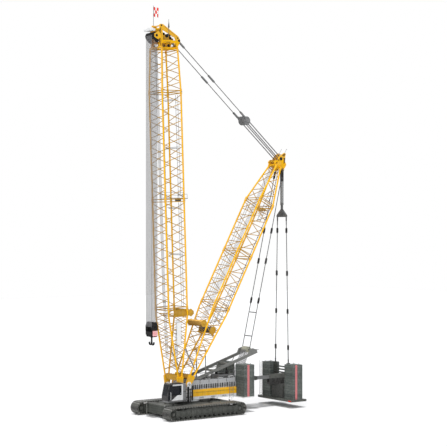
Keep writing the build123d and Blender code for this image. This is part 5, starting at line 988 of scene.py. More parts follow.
# operator's station inside the cab
seat_x, seat_y, _ = middle("cab_seat")
seat_low = low("cab_seat")
base = seat_low[2] + 0.30
cushion("operator_seat_cushion", np.array([seat_x + 0.04, seat_y, base + 0.06]), (0.30, 0.28, 0.10), 0.0, 0.3, UPPER,
        "cab_seat")
cushion("operator_seat_back", np.array([seat_low[0] + 0.07, seat_y, base + 0.27]), (0.36, 0.27, 0.09),
        math.radians(80), 0.3, UPPER)
pedestal = [(0, 0), (0.11, 0), (0.11, 0.02), (0.06, 0.04), (0.05, 0.22), (0.13, 0.24), (0.13, 0.26), (0, 0.262)]
knob = [(0, -0.015), (0.014, -0.01), (0.018, 0.01), (0.012, 0.028), (0, 0.032)]
arms_y = seat_y + 0.19 * np.array(SIDES)
console = [
    lathe((seat_x + 0.03, seat_y, seat_low[2]), Z_AXIS, pedestal),
    blocks(WORLD(seat_x + 0.08, arms_y, base + 0.07), (0.26, 0.06, 0.10), 0.015),
    rods(WORLD(seat_x + 0.16, arms_y, base + 0.12), WORLD(seat_x + 0.18, arms_y, base + 0.22), 0.008),
    lathe(WORLD(seat_x + 0.183, arms_y, base + 0.225), Z_AXIS, knob, 14),
    blocks((2.86, 1.62, 2.02), (0.03, 0.20, 0.15), 0.008),
    rods((2.87, 1.62, 1.47), (2.87, 1.62, 1.96), 0.012),
]
piece("operator_console", console, DARK, UPPER)
walkway = [spans((1.72, 0.86, 1.30), (3.02, 1.00, 1.33), 0.006), spans((1.10, 0.87, 1.86), (1.52, 1.20, 1.885), 0.006)]
piece("cab_walkway", walkway, GRATING, UPPER)

# ---------------------------------------------------------------- counterweights and ballast
def slab_details(side, inner, outer, z0, z1, slabs, x0, x1, body, name):
    """Side pockets of each slab of a stack, and the lifting eyes on top of it."""
    levels = np.linspace(z0, z1, slabs + 1)[1:]
    pockets = [(x, z - 0.055, x + 0.05, z - 0.02) for z in levels for x in (x0 + 0.10, x1 - 0.15)]
    piece(f"{name}_pockets", on_face(side, side * outer, 0.008, pockets, 0.003), DARK, body)
    loop = [(-0.05, -0.01), (-0.045, 0.05), (0, 0.075), (0.045, 0.05), (0.05, -0.01)]
    eyes = [
        tube(bend(*[(x + dx, side * y, z1 + dz) for dx, dz in loop]), 0.010)
        for x in (x0 + 0.2, x1 - 0.2) for y in (inner + 0.22, outer - 0.22)
    ]
    piece(f"{name}_eyes", eyes, CHASSIS, body)


ballast_x = low("ballast_stacks")[0], high("ballast_stacks")[0]
for side, tag in TAGS.items():
    slab_details(side, 0.71, 1.86, 1.20, 3.64, 12, -4.85, -3.90, UPPER, f"counterweight_{tag}")
for side, tag in TAGS.items():
    slab_details(side, 0.94, 2.02, 0.635, 3.355, 13, *ballast_x, "ballast", f"ballast_{tag}")
# ladder beside the right stack of the suspended ballast, and the rim of its pallet
x, rungs = ballast_x[1] + 0.12, np.arange(0.85, 3.3, 0.14)
poles = [
    rods(WORLD(x, np.array([-2.12, -1.78]), 0.635), WORLD(x, np.array([-2.12, -1.78]), 3.44), 0.030, 12),
    rods(WORLD(x, -2.12, rungs), WORLD(x, -1.78, rungs), 0.022),
    spans((x - 0.05, -2.14, 0.635), (x + 0.05, -1.76, 0.66), 0.004),
]
piece("ballast_ladder", poles, LIGHT, "ballast")
pallet_low, pallet_high = low("ballast_pallet"), high("ballast_pallet")
x, y = pallet_high[0], np.linspace(-1.9, 1.9, 9)
rim = [
    spans((pallet_low[0] + 0.02, edge - 0.015, 0.625), (x - 0.02, edge + 0.015, 0.66), 0.004)
    for edge in (pallet_low[1] + 0.02, pallet_high[1] - 0.02)
]
rim.append(spans(WORLD(x - 0.012, y - 0.02, 0.49), WORLD(x + 0.012, y + 0.02, 0.625), 0.004))
piece("pallet_rim", rim, CHASSIS, "ballast")
piece("pallet_reflector", [spans((x, 1.78, 0.50), (x + 0.012, 2.12, 0.60))], RED, "ballast")

# ---------------------------------------------------------------- arms
CORNERS = [(i, j) for i in (-1, 1) for j in (-1, 1)]
PIN = [(0, -0.135), (0.030, -0.135), (0.034, -0.128), (0.034, 0.128), (0.030, 0.135), (0, 0.135)]


def joint_pieces(place, sizes, joints, body, name):
    """Fork eyes with pins at each section joint of an arm."""
    pins, eyes = [], []
    for s in joints:
        depth, width = half_sizes(sizes, s)
        spots = np.array([place(i * depth, j * width, s) for i, j in CORNERS])
        pins += [lathe(spots, Y_AXIS, PIN, 16), bolts(spots + [0, 0.135, 0], Y_AXIS, 0.014, 0.012)]
        eyes += [
            plates(place, link(i * depth, s - 0.14, s + 0.14, 0.048), [j * width + shift], 0.016)
            for shift in (-0.075, 0.075) for i, j in CORNERS
        ]
    piece(f"{name}_joint_pins", pins, BARE, body)
    piece(f"{name}_joint_eyes", eyes, YELLOW, body)


joint_pieces(BOOM, BOOM_SIZES, BOOM_JOINTS, "main_boom", "boom")
joint_pieces(DERRICK, DERRICK_SIZES, DERRICK_JOINTS, "derrick", "derrick")


def ladder(name, place, ends, s0, s1, step, radii, material, body):
    """Ladder along an arm: stringers at two (u, v) places, and rungs between them."""
    (u0, v0), (u1, v1) = ends
    u, v, rungs = np.array([u0, u1]), np.array([v0, v1]), np.arange(s0 + 0.15, s1, step)
    parts = [
        rods(place(u, v, s0), place(u, v, s1), radii[0]),
        rods(place(u0, v0, rungs), place(u1, v1, rungs), radii[1], 6),
    ]
    piece(name, parts, material, body)


FACE_LADDER, SIDE_LADDER = (0.30, (0.014, 0.009), MID_GREY), (0.24, (0.016, 0.014), BAR_GREY)
ladder("boom_ladder_low", BOOM, ((-0.745, 0.27), (-0.745, 0.57)), 5.95, 13.75, *FACE_LADDER, "main_boom")
ladder("boom_ladder_high", BOOM, ((-0.745, 0.27), (-0.745, 0.57)), 14.2, 21.8, *FACE_LADDER, "main_boom")
ladder("derrick_ladder", DERRICK, ((0.62, -0.55), (0.62, -0.25)), 6.75, 15.40, *FACE_LADDER, "derrick")


def cable_pieces(name, place, sizes, way, depth_in, width_in, run, count, clamps_from, clamp_length, body):
    """Two cables with clamps inside one chord of an arm."""
    s = np.linspace(*run, count)
    depth, width = half_sizes(sizes, s)
    parts = [tube(place(way * (depth - depth_in), width - width_in - shift, s), 0.012) for shift in (0, 0.03)]
    s = np.arange(clamps_from, run[1], 0.8)
    depth, width = half_sizes(sizes, s)
    clamps = place(way * (depth - depth_in), width - width_in - 0.015, s)
    parts.append(blocks(clamps, (0.04, 0.085, clamp_length), 0.005))
    piece(name, parts, RUBBER, body)


cable_pieces("boom_cables", BOOM, BOOM_SIZES, 1, 0.115, 0.06, (5.3, 24.9), 60, 5.6, 0.03, "main_boom")
cable_pieces("derrick_cables", DERRICK, DERRICK_SIZES, -1, 0.12, 0.075, (6.2, 18.6), 40, 6.4, 0.04, "derrick")

# ropes that run inside the arms from their winches to the heads
v, u = np.linspace(-0.58, -0.22, 6), 0.03 * (np.arange(6) % 2)
piece("boom_inner_ropes", [rods(BOOM(0.36 + u, v, 6.2), BOOM(0.44 + u, v * 0.9, 25.3), 0.011)], ROPE, "main_boom")
guides = []
for s in (9.8, 13.3, 17.8, 21.4):
    u = -0.61 + 0.2 * (s - 6.2) / 19.4
    guides += [bar(BOOM, u - 0.035, s, 0.84, 0.022), bar(BOOM, u + 0.075, s + 0.08, 0.84, 0.018)]
piece("boom_rope_rollers", guides, MID_GREY, "main_boom")
v = np.linspace(-0.30, 0.30, 6)
piece("derrick_inner_ropes", [rods(DERRICK(0.50, v, 5.3), DERRICK(0.20, v * 0.9, 19.40), 0.011)], ROPE, "derrick")

# wound rope and drives of the two arm winches
hub = [(0, 0), (0.13, 0), (0.13, 0.02), (0.09, 0.03), (0.085, 0.085), (0, 0.09)]
foot = [(0, 0), (0.095, 0), (0.095, 0.02), (0.06, 0.03), (0.06, 0.045), (0, 0.047)]
foot_pins = []
for place, u, s, half, cheek, body, name in (
    (BOOM, -1.16, 5.44, 0.845, BOOM_CHEEK, "main_boom", "boom"),
    (DERRICK, 0.88, 4.65, 0.885, DERRICK_CHEEK, "derrick", "derrick"),
):
    rows = grooves(-half * 0.97, half * 1.94 / 48, 48, [(0.220, 0), (0.236, 0.009), (0.240, 0.017), (0.236, 0.026)])
    winding = [(0.217, -half), *rows, (0.217, half)]
    piece(f"{name}_winch_rope", [lathe(place(u, 0, s), Y_AXIS, winding, 28)], DRUM_ROPE, body)
    drives = []
    for side in SIDES:
        axis = (0, side, 0)
        drives.append(lathe(place(u, side * (cheek + 0.021), s), axis, hub, 20))
        drives.append(bolt_circle(place(u, side * (cheek + 0.041), s), axis, 0.11, 8, 0.009, 0.010))
        foot_pins.append(lathe(place(0, side * (cheek + 0.155), 0), axis, foot))
        foot_pins.append(bolt_circle(place(0, side * (cheek + 0.175), 0), axis, 0.078, 6, 0.008, 0.010))
    piece(f"{name}_winch_drives", drives, DEEP_YELLOW, body)

# working platform with its rails, on the middle joint of the boom
(x0, y0, _), (x1, y1, top) = low("boom_platform"), high("boom_platform")
rail_x, rail_y = np.array([x0, x0, x1, x1]), np.array([y1, y0, y0, y1])
rail_x, rail_y = rail_x + [0.03, 0.03, -0.03, -0.03], rail_y + [-0.03, 0.03, 0.03, -0.03]
railing(WORLD(rail_x, rail_y, top), 0.42, "boom_platform_rail", "main_boom")
tread = spans((x0 + 0.01, y0 + 0.01, top), (x1 - 0.01, y1 - 0.01, top + 0.008))
piece("boom_platform_tread", [tread], GRATING, "main_boom")
# walkway across the derrick at its upper joint
WALK_S = 15.12
walk = [blocks(DERRICK(-0.25, 0.30, WALK_S), (0.55, 0.95, 0.03), axes=DERRICK.axes)]
posts = np.linspace(-0.76, 0.76, 6)
for u in (-0.45, 0.45):
    walk += [bar(DERRICK, u, WALK_S - height, 0.76, 0.012, 8) for height in (0.22, 0.42)]
    walk.append(rods(DERRICK(u, posts, WALK_S - 0.43), DERRICK(u, posts, WALK_S), 0.012))
piece("derrick_walkway", walk, DEEP_YELLOW, "derrick")
piece("arm_foot_pins", foot_pins, BARE, UPPER)

# frame of the blank sign
(x0, _, z0), (x1, y, z1) = low("boom_sign"), high("boom_sign")
boxes = [(x0 - 0.004, z0, x0 + 0.016, z1), (x1 - 0.016, z0, x1 + 0.004, z1),
         (x0, z0, x1, z0 + 0.02), (x0, z1 - 0.02, x1, z1)]
piece("sign_frame", on_face(1, y, 0.010, boxes, 0.003, -0.004), MID_GREY, "main_boom")

# ---------------------------------------------------------------- boom head
HOIST_X, _, HEAD_Z = map(float, middle("boom_head_sheaves"))
SHEAVE_RADIUS = (high("boom_head_sheaves") - low("boom_head_sheaves"))[2] / 2
head_rows = (-0.36, -0.24, -0.12, 0.0, 0.12, 0.24, 0.36)
head_sheaves = [sheave((HOIST_X, y, HEAD_Z), SHEAVE_RADIUS, 0.07) for y in head_rows]
piece("head_sheave_set", head_sheaves, SHEAVE, "main_boom", replaces="boom_head_sheaves")
guard = [(0.78, 25.62), (1.02, 25.72), (1.27, 26.02), (1.30, 26.20), (1.20, 26.40), (1.04, 26.44), (0.80, 26.30)]
guards = [plates(BOOM, guard, [-0.50, -0.43, 0.43, 0.50], 0.014)]
guards += [bar(BOOM, u, s, 0.50, 0.02) for u, s in ((1.26, 26.29), (0.98, 26.435))]
piece("head_sheave_guards", guards, DARK, "main_boom")
braces = [
    plates(BOOM, [(0.42, 26.84), (0.68, 26.84), (0.66, 27.00), (0.44, 27.00)], [-0.50, 0.50], 0.05, 0.006),
    bar(BOOM, 0.55, 26.93, 0.50, 0.045, 16),
]
u = np.array([0.56, -0.56])
for side in SIDES:
    braces.append(rods(BOOM(u, side * 0.52, 25.35), BOOM(-u, -side * 0.52, 25.70), 0.026, 10))
    braces.append(rods(BOOM(0.50, side * 0.50, 25.95), BOOM(-0.55, -side * 0.50, 26.15), 0.022, 10))
piece("head_braces", braces, YELLOW, "main_boom")
gear = [
    blocks(BOOM(-0.45, 0, 25.98), (0.40, 0.70, 0.10), 0.015),
    blocks(BOOM(0.10, 0, 25.88), (0.30, 0.50, 0.16), 0.02),
    *[sheave(BOOM(-0.30, v, 26.22), 0.17, 0.06, 28) for v in (0.22, -0.22)],
    bar(BOOM, -0.30, 26.22, 0.50, 0.03, 12),
]
piece("head_rope_gear", gear, DARK, "main_boom")
lamp = [(0, -0.14), (0.03, -0.13), (0.058, -0.05), (0.064, 0), (0.056, 0.06), (0.03, 0.14), (0.022, 0.30), (0, 0.48)]
piece("mast_lamp", [lathe((2.19, 0.608, 29.16), Z_AXIS, lamp, 20)], BAR_GREY, "main_boom", "dark_paint")


def flag_pieces():
    """The flag: one sheet hung from its mast by its edge, with shallow folds, and its rings."""
    (x0, y0, z0), (x1, y1, z1) = low("warning_flag"), high("warning_flag")
    rows, columns = 40, 26
    a, b = np.linspace(0, 1, columns)[None], np.linspace(0, 1, rows)[:, None]
    wave = 0.030 * a * np.sin(2 * math.pi * (1.35 * a + 0.35 * b))
    wave = wave + 0.012 * a * np.sin(2 * math.pi * (2.6 * a - 0.5 * b))
    drop = b * (z1 - z0) * 0.96 + 0.03 * a**2 * (1 - 0.3 * b)
    grid = np.stack(np.broadcast_arrays(x1 - a * (x1 - x0) * 0.93, (y0 + y1) / 2 + wave, z1 - drop), -1)
    index = np.arange(rows * columns).reshape(rows, columns)
    cells = np.stack([index[:-1, :-1], index[1:, :-1], index[1:, 1:], index[:-1, 1:]], -1)
    mesh = bpy.data.meshes.new("warning_flag_cloth")
    mesh.from_pydata(grid.reshape(-1, 3).tolist(), [], cells.reshape(-1, 4).tolist())
    chart = mesh.uv_layers.new(name="UVMap")
    corners = np.empty(len(mesh.loops), np.int32)
    mesh.loops.foreach_get("vertex_index", corners)
    uv = np.stack(np.broadcast_arrays(a, 1 - b), -1).reshape(-1, 2) * 0.998 + 0.001
    chart.data.foreach_set("uv", uv[corners].astype(np.float32).ravel())
    mesh.polygons.foreach_set("use_smooth", np.ones(len(mesh.polygons), bool))
    cloth = mesh_object("warning_flag_cloth", mesh, FLAG, "main_boom", "flag_cloth")
    thick = cloth.modifiers.new("thickness", "SOLIDIFY")
    thick.thickness, thick.offset = 0.003, 0
    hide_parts("warning_flag")
    run = np.linalg.norm(np.diff(grid, axis=1), axis=-1).sum(axis=1).mean()
    fall = np.linalg.norm(np.diff(grid, axis=0), axis=-1).sum(axis=0).mean()
    rings = bolts(WORLD(x1 + 0.004, (y0 + y1) / 2, np.linspace(z0 + 0.05, z1 - 0.03, 4)), Y_AXIS, 0.012, 0.01)
    piece("flag_rings", [rings], BARE, "main_boom")


flag_pieces()

# ---------------------------------------------------------------- hook block and hoist ropes
BLOCK_SHEAVE_Z = 6.78
AT_BLOCK = Place((HOIST_X, 0, BLOCK_SHEAVE_Z), X_AXIS, Z_AXIS)
block_sheaves = [sheave(AT_BLOCK(0, y, 0), SHEAVE_RADIUS, 0.07) for y in (-0.36, -0.24, 0.24, 0.36)]
piece("block_sheave_set", block_sheaves, SHEAVE, "hook_block")
boss = [(0, 0), (0.10, 0), (0.10, 0.012), (0.06, 0.018), (0.055, 0.035), (0, 0.037)]
swivel = [(0, 0), (0.10, 0), (0.115, 0.03), (0.115, 0.07), (0.07, 0.09), (0, 0.09)]
fittings = [lathe((HOIST_X, 0, low("hook_block")[2] + 0.005), Z_AXIS, swivel, 28)]
for side in SIDES:
    y, axis = side * 0.452, (0, side, 0)
    fittings.append(lathe(AT_BLOCK(0, y, 0), axis, boss))
    fittings.append(bolt_circle(AT_BLOCK(0, y + side * 0.008, 0), axis, 0.08, 8, 0.007, 0.008))
    heads = [(HOIST_X + x, y - side * 0.002, z) for x in (-0.2, 0.2) for z in (6.12, 6.45)]
    fittings.append(bolts(heads, axis, 0.014, 0.014))
    x = HOIST_X + side * 0.262
    fittings.append(spans((x - 0.006, -0.42, 6.18), (x + 0.006, 0.42, 6.44), 0.004))
piece("hook_block_fittings", fittings, DARK, "hook_block")
hood = np.concatenate([arc((0, 0), 0.262, 35, 145, 14), arc((0, 0), 0.248, 145, 35, 14)])
piece("block_hoods", [plates(AT_BLOCK, hood, [-0.30, 0.30], 0.20, 0.002)], DARK, "hook_block")
panel = spans((HOIST_X - 0.245, 0.450, 6.10), (HOIST_X + 0.20, 0.458, 6.50))
piece("block_warning_panel", [panel], HATCHED, "hook_block")
nut = [(0.062, -0.05), (0.11, -0.05), (0.12, -0.02), (0.12, 0.03), (0.10, 0.05), (0.062, 0.05)]
piece("hook_bearing", [lathe((HOIST_X, 0, high("hook")[2] - 0.06), Z_AXIS, nut)], BARE, "hook")


def falls(name, starts, ends, radius, replaced=None):
    """Taut wire rope falls from one body to the next, each cut into short lengths."""
    starts, ends, share = np.asarray(starts, float), np.asarray(ends, float), np.linspace(0, 1, 9)[:, None]
    parts = [tube(a + share * (b - a), radius) for a, b in zip(starts, ends)]
    made = piece(name, parts, ROPE, None)
    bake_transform(made)
    if replaced:
        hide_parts(replaced)


spots = [(HOIST_X + side * (SHEAVE_RADIUS + 0.012), y) for side in SIDES for y in np.linspace(-0.385, 0.385, 14)]
falls("hoist_rope_falls", [(*spot, HEAD_Z) for spot in spots], [(*spot, BLOCK_SHEAVE_Z) for spot in spots], 0.010,
      "hoist_ropes")

# ---------------------------------------------------------------- luffing gear between the two heads
def strip(start, direction):
    """The frame of a stay or line: s along it from its start, u square to it and v to the left."""
    return Place(start, np.cross(Y_AXIS, direction), direction)


def stay_links(name, place, y, shares, length, inset, material, body):
    """Link plates with pins on both of a pair of stays, at y and -y, for each pair of shares of the length."""
    links, pins = [], []
    for first, last in shares:
        a, b = first * length + inset, last * length - inset
        for centre in (-y, y):
            links.append(plates(place, link(0, a, b, 0.055), [centre - 0.060, centre + 0.060], 0.014, 0.003))
            pins += [rods(place(0, centre - 0.085, s), place(0, centre + 0.085, s), 0.026, 14) for s in (a, b)]
    piece(f"{name}_link_plates", links, material, body, "stay_steel")
    piece(f"{name}_link_pins", pins, BARE, body)


BLOCK_S, PENDANT_LENGTH = 8.64, 8.315  # along the luffing line, from the boom
head = DERRICK(0.04, 0, 19.54)
line_start = JOINTS["pendant_swing"]
LINE = strip(line_start, unit(head - line_start))
PAIRS = [y + shift for y in (-0.24, 0.24) for shift in (-0.075, -0.025, 0.025, 0.075)]
floating = [sheave(LINE(0, y, BLOCK_S), 0.332, 0.042, 40) for y in PAIRS]
piece("floating_block_sheaves", floating, SHEAVE, "luffing_line")
cap = [(0, -0.09), (0.09, -0.09), (0.1, -0.07), (0.1, 0.07), (0.09, 0.09), (0, 0.09)]
cheeks = [
    plates(LINE, lug(0, BLOCK_S + 0.02, 0.27, BLOCK_S - 0.44, 0.10, 20, 16), [-0.375, -0.11, 0.11, 0.375], 0.018),
    lathe([LINE(0, side * 0.40, BLOCK_S) for side in SIDES], Y_AXIS, cap),
    *[bar(LINE, u, BLOCK_S - 0.02, 0.40, 0.018) for u in (0.22, -0.22)],
]
piece("floating_block_cheeks", cheeks, MID_GREY, "luffing_line", "dark_paint")
shares = ((0.01, 0.09), (0.44, 0.53), (0.92, 1.0))
stay_links("pendant", LINE, 0.45, shares, PENDANT_LENGTH, 0.05, MID_GREY, "luffing_line")
lanes = [(sign, y) for y in (-0.235, -0.185, -0.135, 0.135, 0.185, 0.235) for sign in (1, -1)]
starts = [LINE(sign * 0.18, y, BLOCK_S) for sign, y in lanes]
ends = [head + sign * 0.17 * LINE.axes[0] + [0, y, 0] for sign, y in lanes]
falls("luffing_rope_falls", starts, ends, 0.017, "luffing_ropes")

# ---------------------------------------------------------------- derrick head
derrick_sheaves = [sheave(head + [0, y, 0], 0.226, 0.042, 32) for y in PAIRS]
piece("derrick_head_sheaves", derrick_sheaves, SHEAVE, "derrick")
gear = [
    bar(DERRICK, 0.44, 19.08, 0.36, 0.05, 16),
    *[sheave(DERRICK(0.44, v, 19.08), 0.14, 0.05, 24) for v in (0.16, -0.16)],
    blocks(DERRICK(-0.05, 0, 19.0), (0.20, 0.60, 0.12), 0.02, DERRICK.axes),
    bar(DERRICK, -0.10, 20.02, 0.36, 0.03, 12),
]
piece("derrick_head_gear", gear, DEEP_YELLOW, "derrick")
knuckle = [(0, 0), (0.075, 0), (0.075, 0.02), (0.05, 0.03), (0, 0.031)]
stiff, lamps = [], []
for side in SIDES:
    outline = [(-0.20, 18.98), (0.22, 18.98), (0.10, 19.30), (-0.20, 19.34)]
    stiff.append(plates(DERRICK, outline, [side * 0.418], 0.016))
    stiff.append(lathe(DERRICK(-0.551, side * 0.425, 19.3206), (0, side, 0), knuckle, 18))
    whip = DERRICK(-0.12, side * 0.34, 20.1)
    tip = whip + [-0.22, 0, 0.36]
    lamps += [rods(whip, tip, 0.014), lathe(tip, Z_AXIS, [(0, -0.04), (0.02, -0.035), (0.022, 0.02), (0, 0.03)], 12)]
piece("derrick_head_stiffeners", stiff, YELLOW, "derrick")
piece("derrick_head_lamps", lamps, MID_GREY, "derrick")

# ---------------------------------------------------------------- stays
rear_top, rear_foot = DERRICK(-0.50, 0, 18.85), np.array([-5.425, 0.0, 4.70])
REAR = strip(rear_top, unit(rear_foot - rear_top))
shares = ((0.01, 0.05), (0.33, 0.36), (0.5, 0.53), (0.72, 0.75))
stay_links("rear_stay", REAR, 0.48, shares, float(np.linalg.norm(rear_foot - rear_top)), 0.04, DARK, "derrick")
BALLAST_X = float(middle("ballast_strands")[0])
links = []
for side in SIDES:
    for share in (0.07, 0.38, 0.655, 0.915):
        z, y = 14.7 - share * 11.0, side * (0.565 + 0.26 * share)
        outline = link(BALLAST_X, z - 0.14, z + 0.14, 0.056)
        links += [plates(WORLD, outline, [y + shift], 0.014, 0.003) for shift in (-0.058, 0.058)]
        ends = np.array([z - 0.14, z + 0.14])
        links.append(rods(WORLD(BALLAST_X, y - 0.08, ends), WORLD(BALLAST_X, y + 0.08, ends), 0.024, 12))
piece("strand_link_plates", links, DARK, "ballast", "stay_steel")
gear = [
    lathe([(BALLAST_X, side * 0.14, z) for side in SIDES], Y_AXIS, [(0, -0.02), (r, -0.02), (r, 0.02), (0, 0.02)], 16)
    for z, r in ((18.125, 0.06), (16.04, 0.055))
]
y = np.linspace(-0.36, 0.36, 5)
ribs_top = 15.12 + 0.36 * (1 - np.abs(y) / 0.62)
gear.append(spans(WORLD(BALLAST_X - 0.072, y - 0.012, 15.03), WORLD(BALLAST_X + 0.072, y + 0.012, ribs_top)))
piece("equalizer_ribs", gear, STAY, "ballast")

# ---------------------------------------------------------------- gantry
pulley = middle("gantry_pulleys")
rows = grooves(-0.345, 0.0575, 12, [(0.226, 0.008), (0.196, 0.02), (0.196, 0.038), (0.226, 0.05)])
pulleys = lathe(pulley, Y_AXIS, [(0.07, -0.345), (0.224, -0.345), *rows, (0.224, 0.345), (0.07, 0.345)], 36)
piece("gantry_sheave_set", [pulleys], PALE, "gantry", replaces="gantry_pulleys")
lower, upper = np.array([-4.25, 0.0, 2.25]), pulley * [1, 0, 1]
square = np.cross(Y_AXIS, unit(upper - lower))
lanes = [(-0.2875 + 0.0575 * k, sign) for k in range(11) for sign in (1, -1)]
starts = [lower + [0, y, 0] + sign * 0.165 * square for y, sign in lanes]
ends = [upper + [0, y, 0] + sign * 0.200 * square for y, sign in lanes]
falls("gantry_rope_falls", starts, ends, 0.011, "gantry_ropes")
beam = []
for side in SIDES:
    for s in np.linspace(0.6, 5.6, 8):
        rib = oblong(-0.10, 0.10, s - 0.006, s + 0.006)
        beam.append(plates(GANTRY, rib, [side * 0.782, side * 0.678], 0.012, 0.002))
    for s in (2.3, 3.8):
        beam.append(lathe(GANTRY(0, side * 0.782, s), (0, side, 0), [(0, 0), (0.10, 0), (0.10, 0.012), (0, 0.014)], 20))
piece("gantry_beam_ribs", beam, STEEL_GREY, "gantry")
v = np.array([0.68, -0.68])
crossed = rods(GANTRY(0, v, 2.45), GANTRY(0, -v, 3.65), 0.03, 10)
piece("gantry_braces", [crossed, rods(GANTRY(0, 0.68, 3.95), GANTRY(0, -0.68, 5.40), 0.03, 10)], STEEL_GREY, "gantry")
piece("gantry_platform_tread", [spans((-6.15, -0.66, 4.63), (-5.78, 0.66, 4.638))], GRATING, "gantry")

# ---------------------------------------------------------------- guide beam, foot ropes and hoses
collars = [spans((x - 0.02, -0.165, 2.165), (x + 0.02, 0.165, 2.495), 0.006) for x in (-5.25, -5.75, -6.25)]
piece("guide_outer_collars", collars, CHASSIS, "guide_outer")
(x0, _, z0), (x1, y1, z1) = low("ballast_frame"), high("ballast_frame")
boxes = [(x - 0.01, z0 + 0.1, x + 0.01, z1 - 0.06) for x in np.linspace(x0 + 0.08, x1 - 0.08, 4)]
ribs = [part for side in SIDES for part in on_face(side, side * y1, 0.012, boxes, 0.003)]
piece("fork_ribs", ribs, CHASSIS, "ballast")
lanes = (-0.12, 0.12)
falls("boom_foot_ropes", [(-0.76, y, 2.27) for y in lanes], [BOOM(-0.10, y, 1.30) for y in lanes], 0.012)
hoses = [
    tube(bend((0.55, y, 2.0), (0.72, y, 2.16), (0.95, y - 0.02, 2.08), (1.02, y - 0.02, 1.92)), 0.014)
    for y in (0.62, 0.57, 0.52, 0.47)
]
piece("boom_foot_hoses", hoses, RUBBER, UPPER)

# ---------------------------------------------------------------- cabinets, screens and fittings round the machine deck
doors = [(1.42, 1.46, 1.62, 1.98), (1.42, 2.04, 1.62, 2.54)]
cabinet = [spans((1.38, 1.04, 1.41), (1.66, 1.72, 2.60), 0.012), *on_face(1, 1.72, 0.015, doors, 0.004)]
piece("cab_side_cabinet", cabinet, MID_GREY, UPPER)
CHANNELS = ((0.36, 1.20, 0.47, 2.30), (0.56, 1.10, 0.60, 2.10), (0.70, 1.05, 0.86, 2.25), (0.98, 1.30, 1.06, 2.35),
            (1.14, 1.42, 1.30, 2.05))
# boxes on the decks: place, length, height, and whether it is dark
BOXES = ((-3.45, 0.34, 0.42, 0), (-2.95, 0.30, 0.30, 1), (-2.45, 0.42, 0.36, 0), (-1.85, 0.26, 0.22, 1),
         (-1.30, 0.38, 0.34, 0), (-0.75, 0.30, 0.26, 1), (-0.20, 0.34, 0.30, 0))
BOX_FOOT, SCREEN_Y = 2.352, 0.862
strips, slots, posts = [spans((1.41, 1.734, 1.995), (1.63, 1.742, 2.025))], [], []
light_boxes, dark_boxes = [], []
for side in SIDES:
    levels = [(0.34, z, 1.30, z + 0.035) for z in (1.44, 1.75, 2.02)]
    strips += on_face(side, side * 1.095, 0.055, CHANNELS, 0.006) + on_face(side, side * 1.092, 0.028, levels, 0.004)
    for k, x in enumerate(np.arange(-3.70, 0.30, 0.165)):
        half = (0.035, 0.055, 0.045)[k % 3]
        slots += on_face(side, side * SCREEN_Y, 0.014, [(x - half, 1.97 + 0.02 * (k % 2), x + half, 2.31)], 0.003)
        posts += on_face(side, side * SCREEN_Y, 0.022, [(x + 0.072, 1.955, x + 0.094, 2.345)], 0.003)
    for x, length, height, dark in BOXES:
        half, box_top = length / 2, BOX_FOOT + height
        shell = on_face(side, side * 0.60, 0.20, [(x - half, BOX_FOOT, x + half, box_top)], 0.012)
        (dark_boxes if dark else light_boxes).extend(shell)
        leaves = [(x - half + 0.04, 2.39, x - 0.01, box_top - 0.04), (x + 0.01, 2.39, x + half - 0.04, box_top - 0.04)]
        dark_boxes += on_face(side, side * 0.80, 0.008, leaves, 0.003)
piece("hose_channels", strips, DARK, UPPER)
piece("deck_screen_slots", slots, DARK, UPPER)
piece("deck_screen_posts", posts, LIGHT, UPPER)
piece("deck_boxes", light_boxes, LIGHT, UPPER)
piece("deck_box_doors", dark_boxes, DARK, UPPER)
hoses = []
for k in range(6):
    y, lift, rise = -0.45 + 0.16 * k, 0.03 * (k % 3), k % 2
    back = bend((-2.40, y, 2.05), (-2.30, y, 2.45 + lift), (-1.62, y * 0.9, 2.60 + 0.04 * rise), (-1.50, y * 0.9, 2.10))
    front = bend((-0.70, y, 1.95), (-0.62, y, 2.30 + 0.03 * rise), (0.20, y * 0.8, 2.38), (0.34, y * 0.8, 1.98))
    hoses += [tube(back, 0.016), tube(front, 0.014)]
piece("deck_hoses", hoses, RUBBER, UPPER)
grab = bend((2.81, 1.80, 1.50), (2.81, 1.84, 1.53), (2.81, 1.84, 1.98), (2.81, 1.80, 2.01))
piece("cab_grab_rail", [tube(grab, 0.016, 10)], LIGHT, UPPER)

# ---------------------------------------------------------------- beams, winch frames and lines inside the arms
for name, place, body, foot, head_end, half, reach in (
    ("boom_foot_beam", BOOM, "main_boom", 0.42, 0.82, 0.13, 0.775),
    ("derrick_foot_beam", DERRICK, "derrick", 0.45, 0.75, 0.11, 0.80),
):
    rim = oblong(-half - 0.03, half + 0.03, foot - 0.03, head_end + 0.03)
    beam = [
        plates(place, oblong(-half, half, foot, head_end), [0], 2 * reach, 0.02),
        plates(place, rim, [-reach, -0.45, -0.15, 0.15, 0.45, reach], 0.03, 0.006),
    ]
    piece(name, beam, DEEP_YELLOW, body)
frames = [plates(BOOM, oblong(-0.78, 0.30, s, s + 0.07), [0.80], 0.05, 0.006) for s in (5.18, 5.66)]
frames.append(plates(BOOM, oblong(-0.78, 0.30, 5.24, 5.67), [0.80], 0.016))
frames += [
    plates(BOOM, oblong(u - 0.012, u + 0.012, 5.24, 5.67), [0.815], 0.04, 0.003) for u in (-0.6, -0.32, -0.04, 0.24)
]
frames += [
    plates(BOOM, oblong(u - 0.035, u + 0.035, s - 0.035, s + 0.035), [0], 1.58, 0.006)
    for u, s in ((-0.40, 5.22), (0.20, 5.22), (-0.40, 5.62), (0.60, 5.42))
]
piece("boom_winch_frame", frames, DEEP_YELLOW, "main_boom")
u, s = -0.22, 4.62
rows = grooves(-0.72, 0.048, 30, [(0.205, 0), (0.228, 0.012), (0.234, 0.022), (0.228, 0.034)])
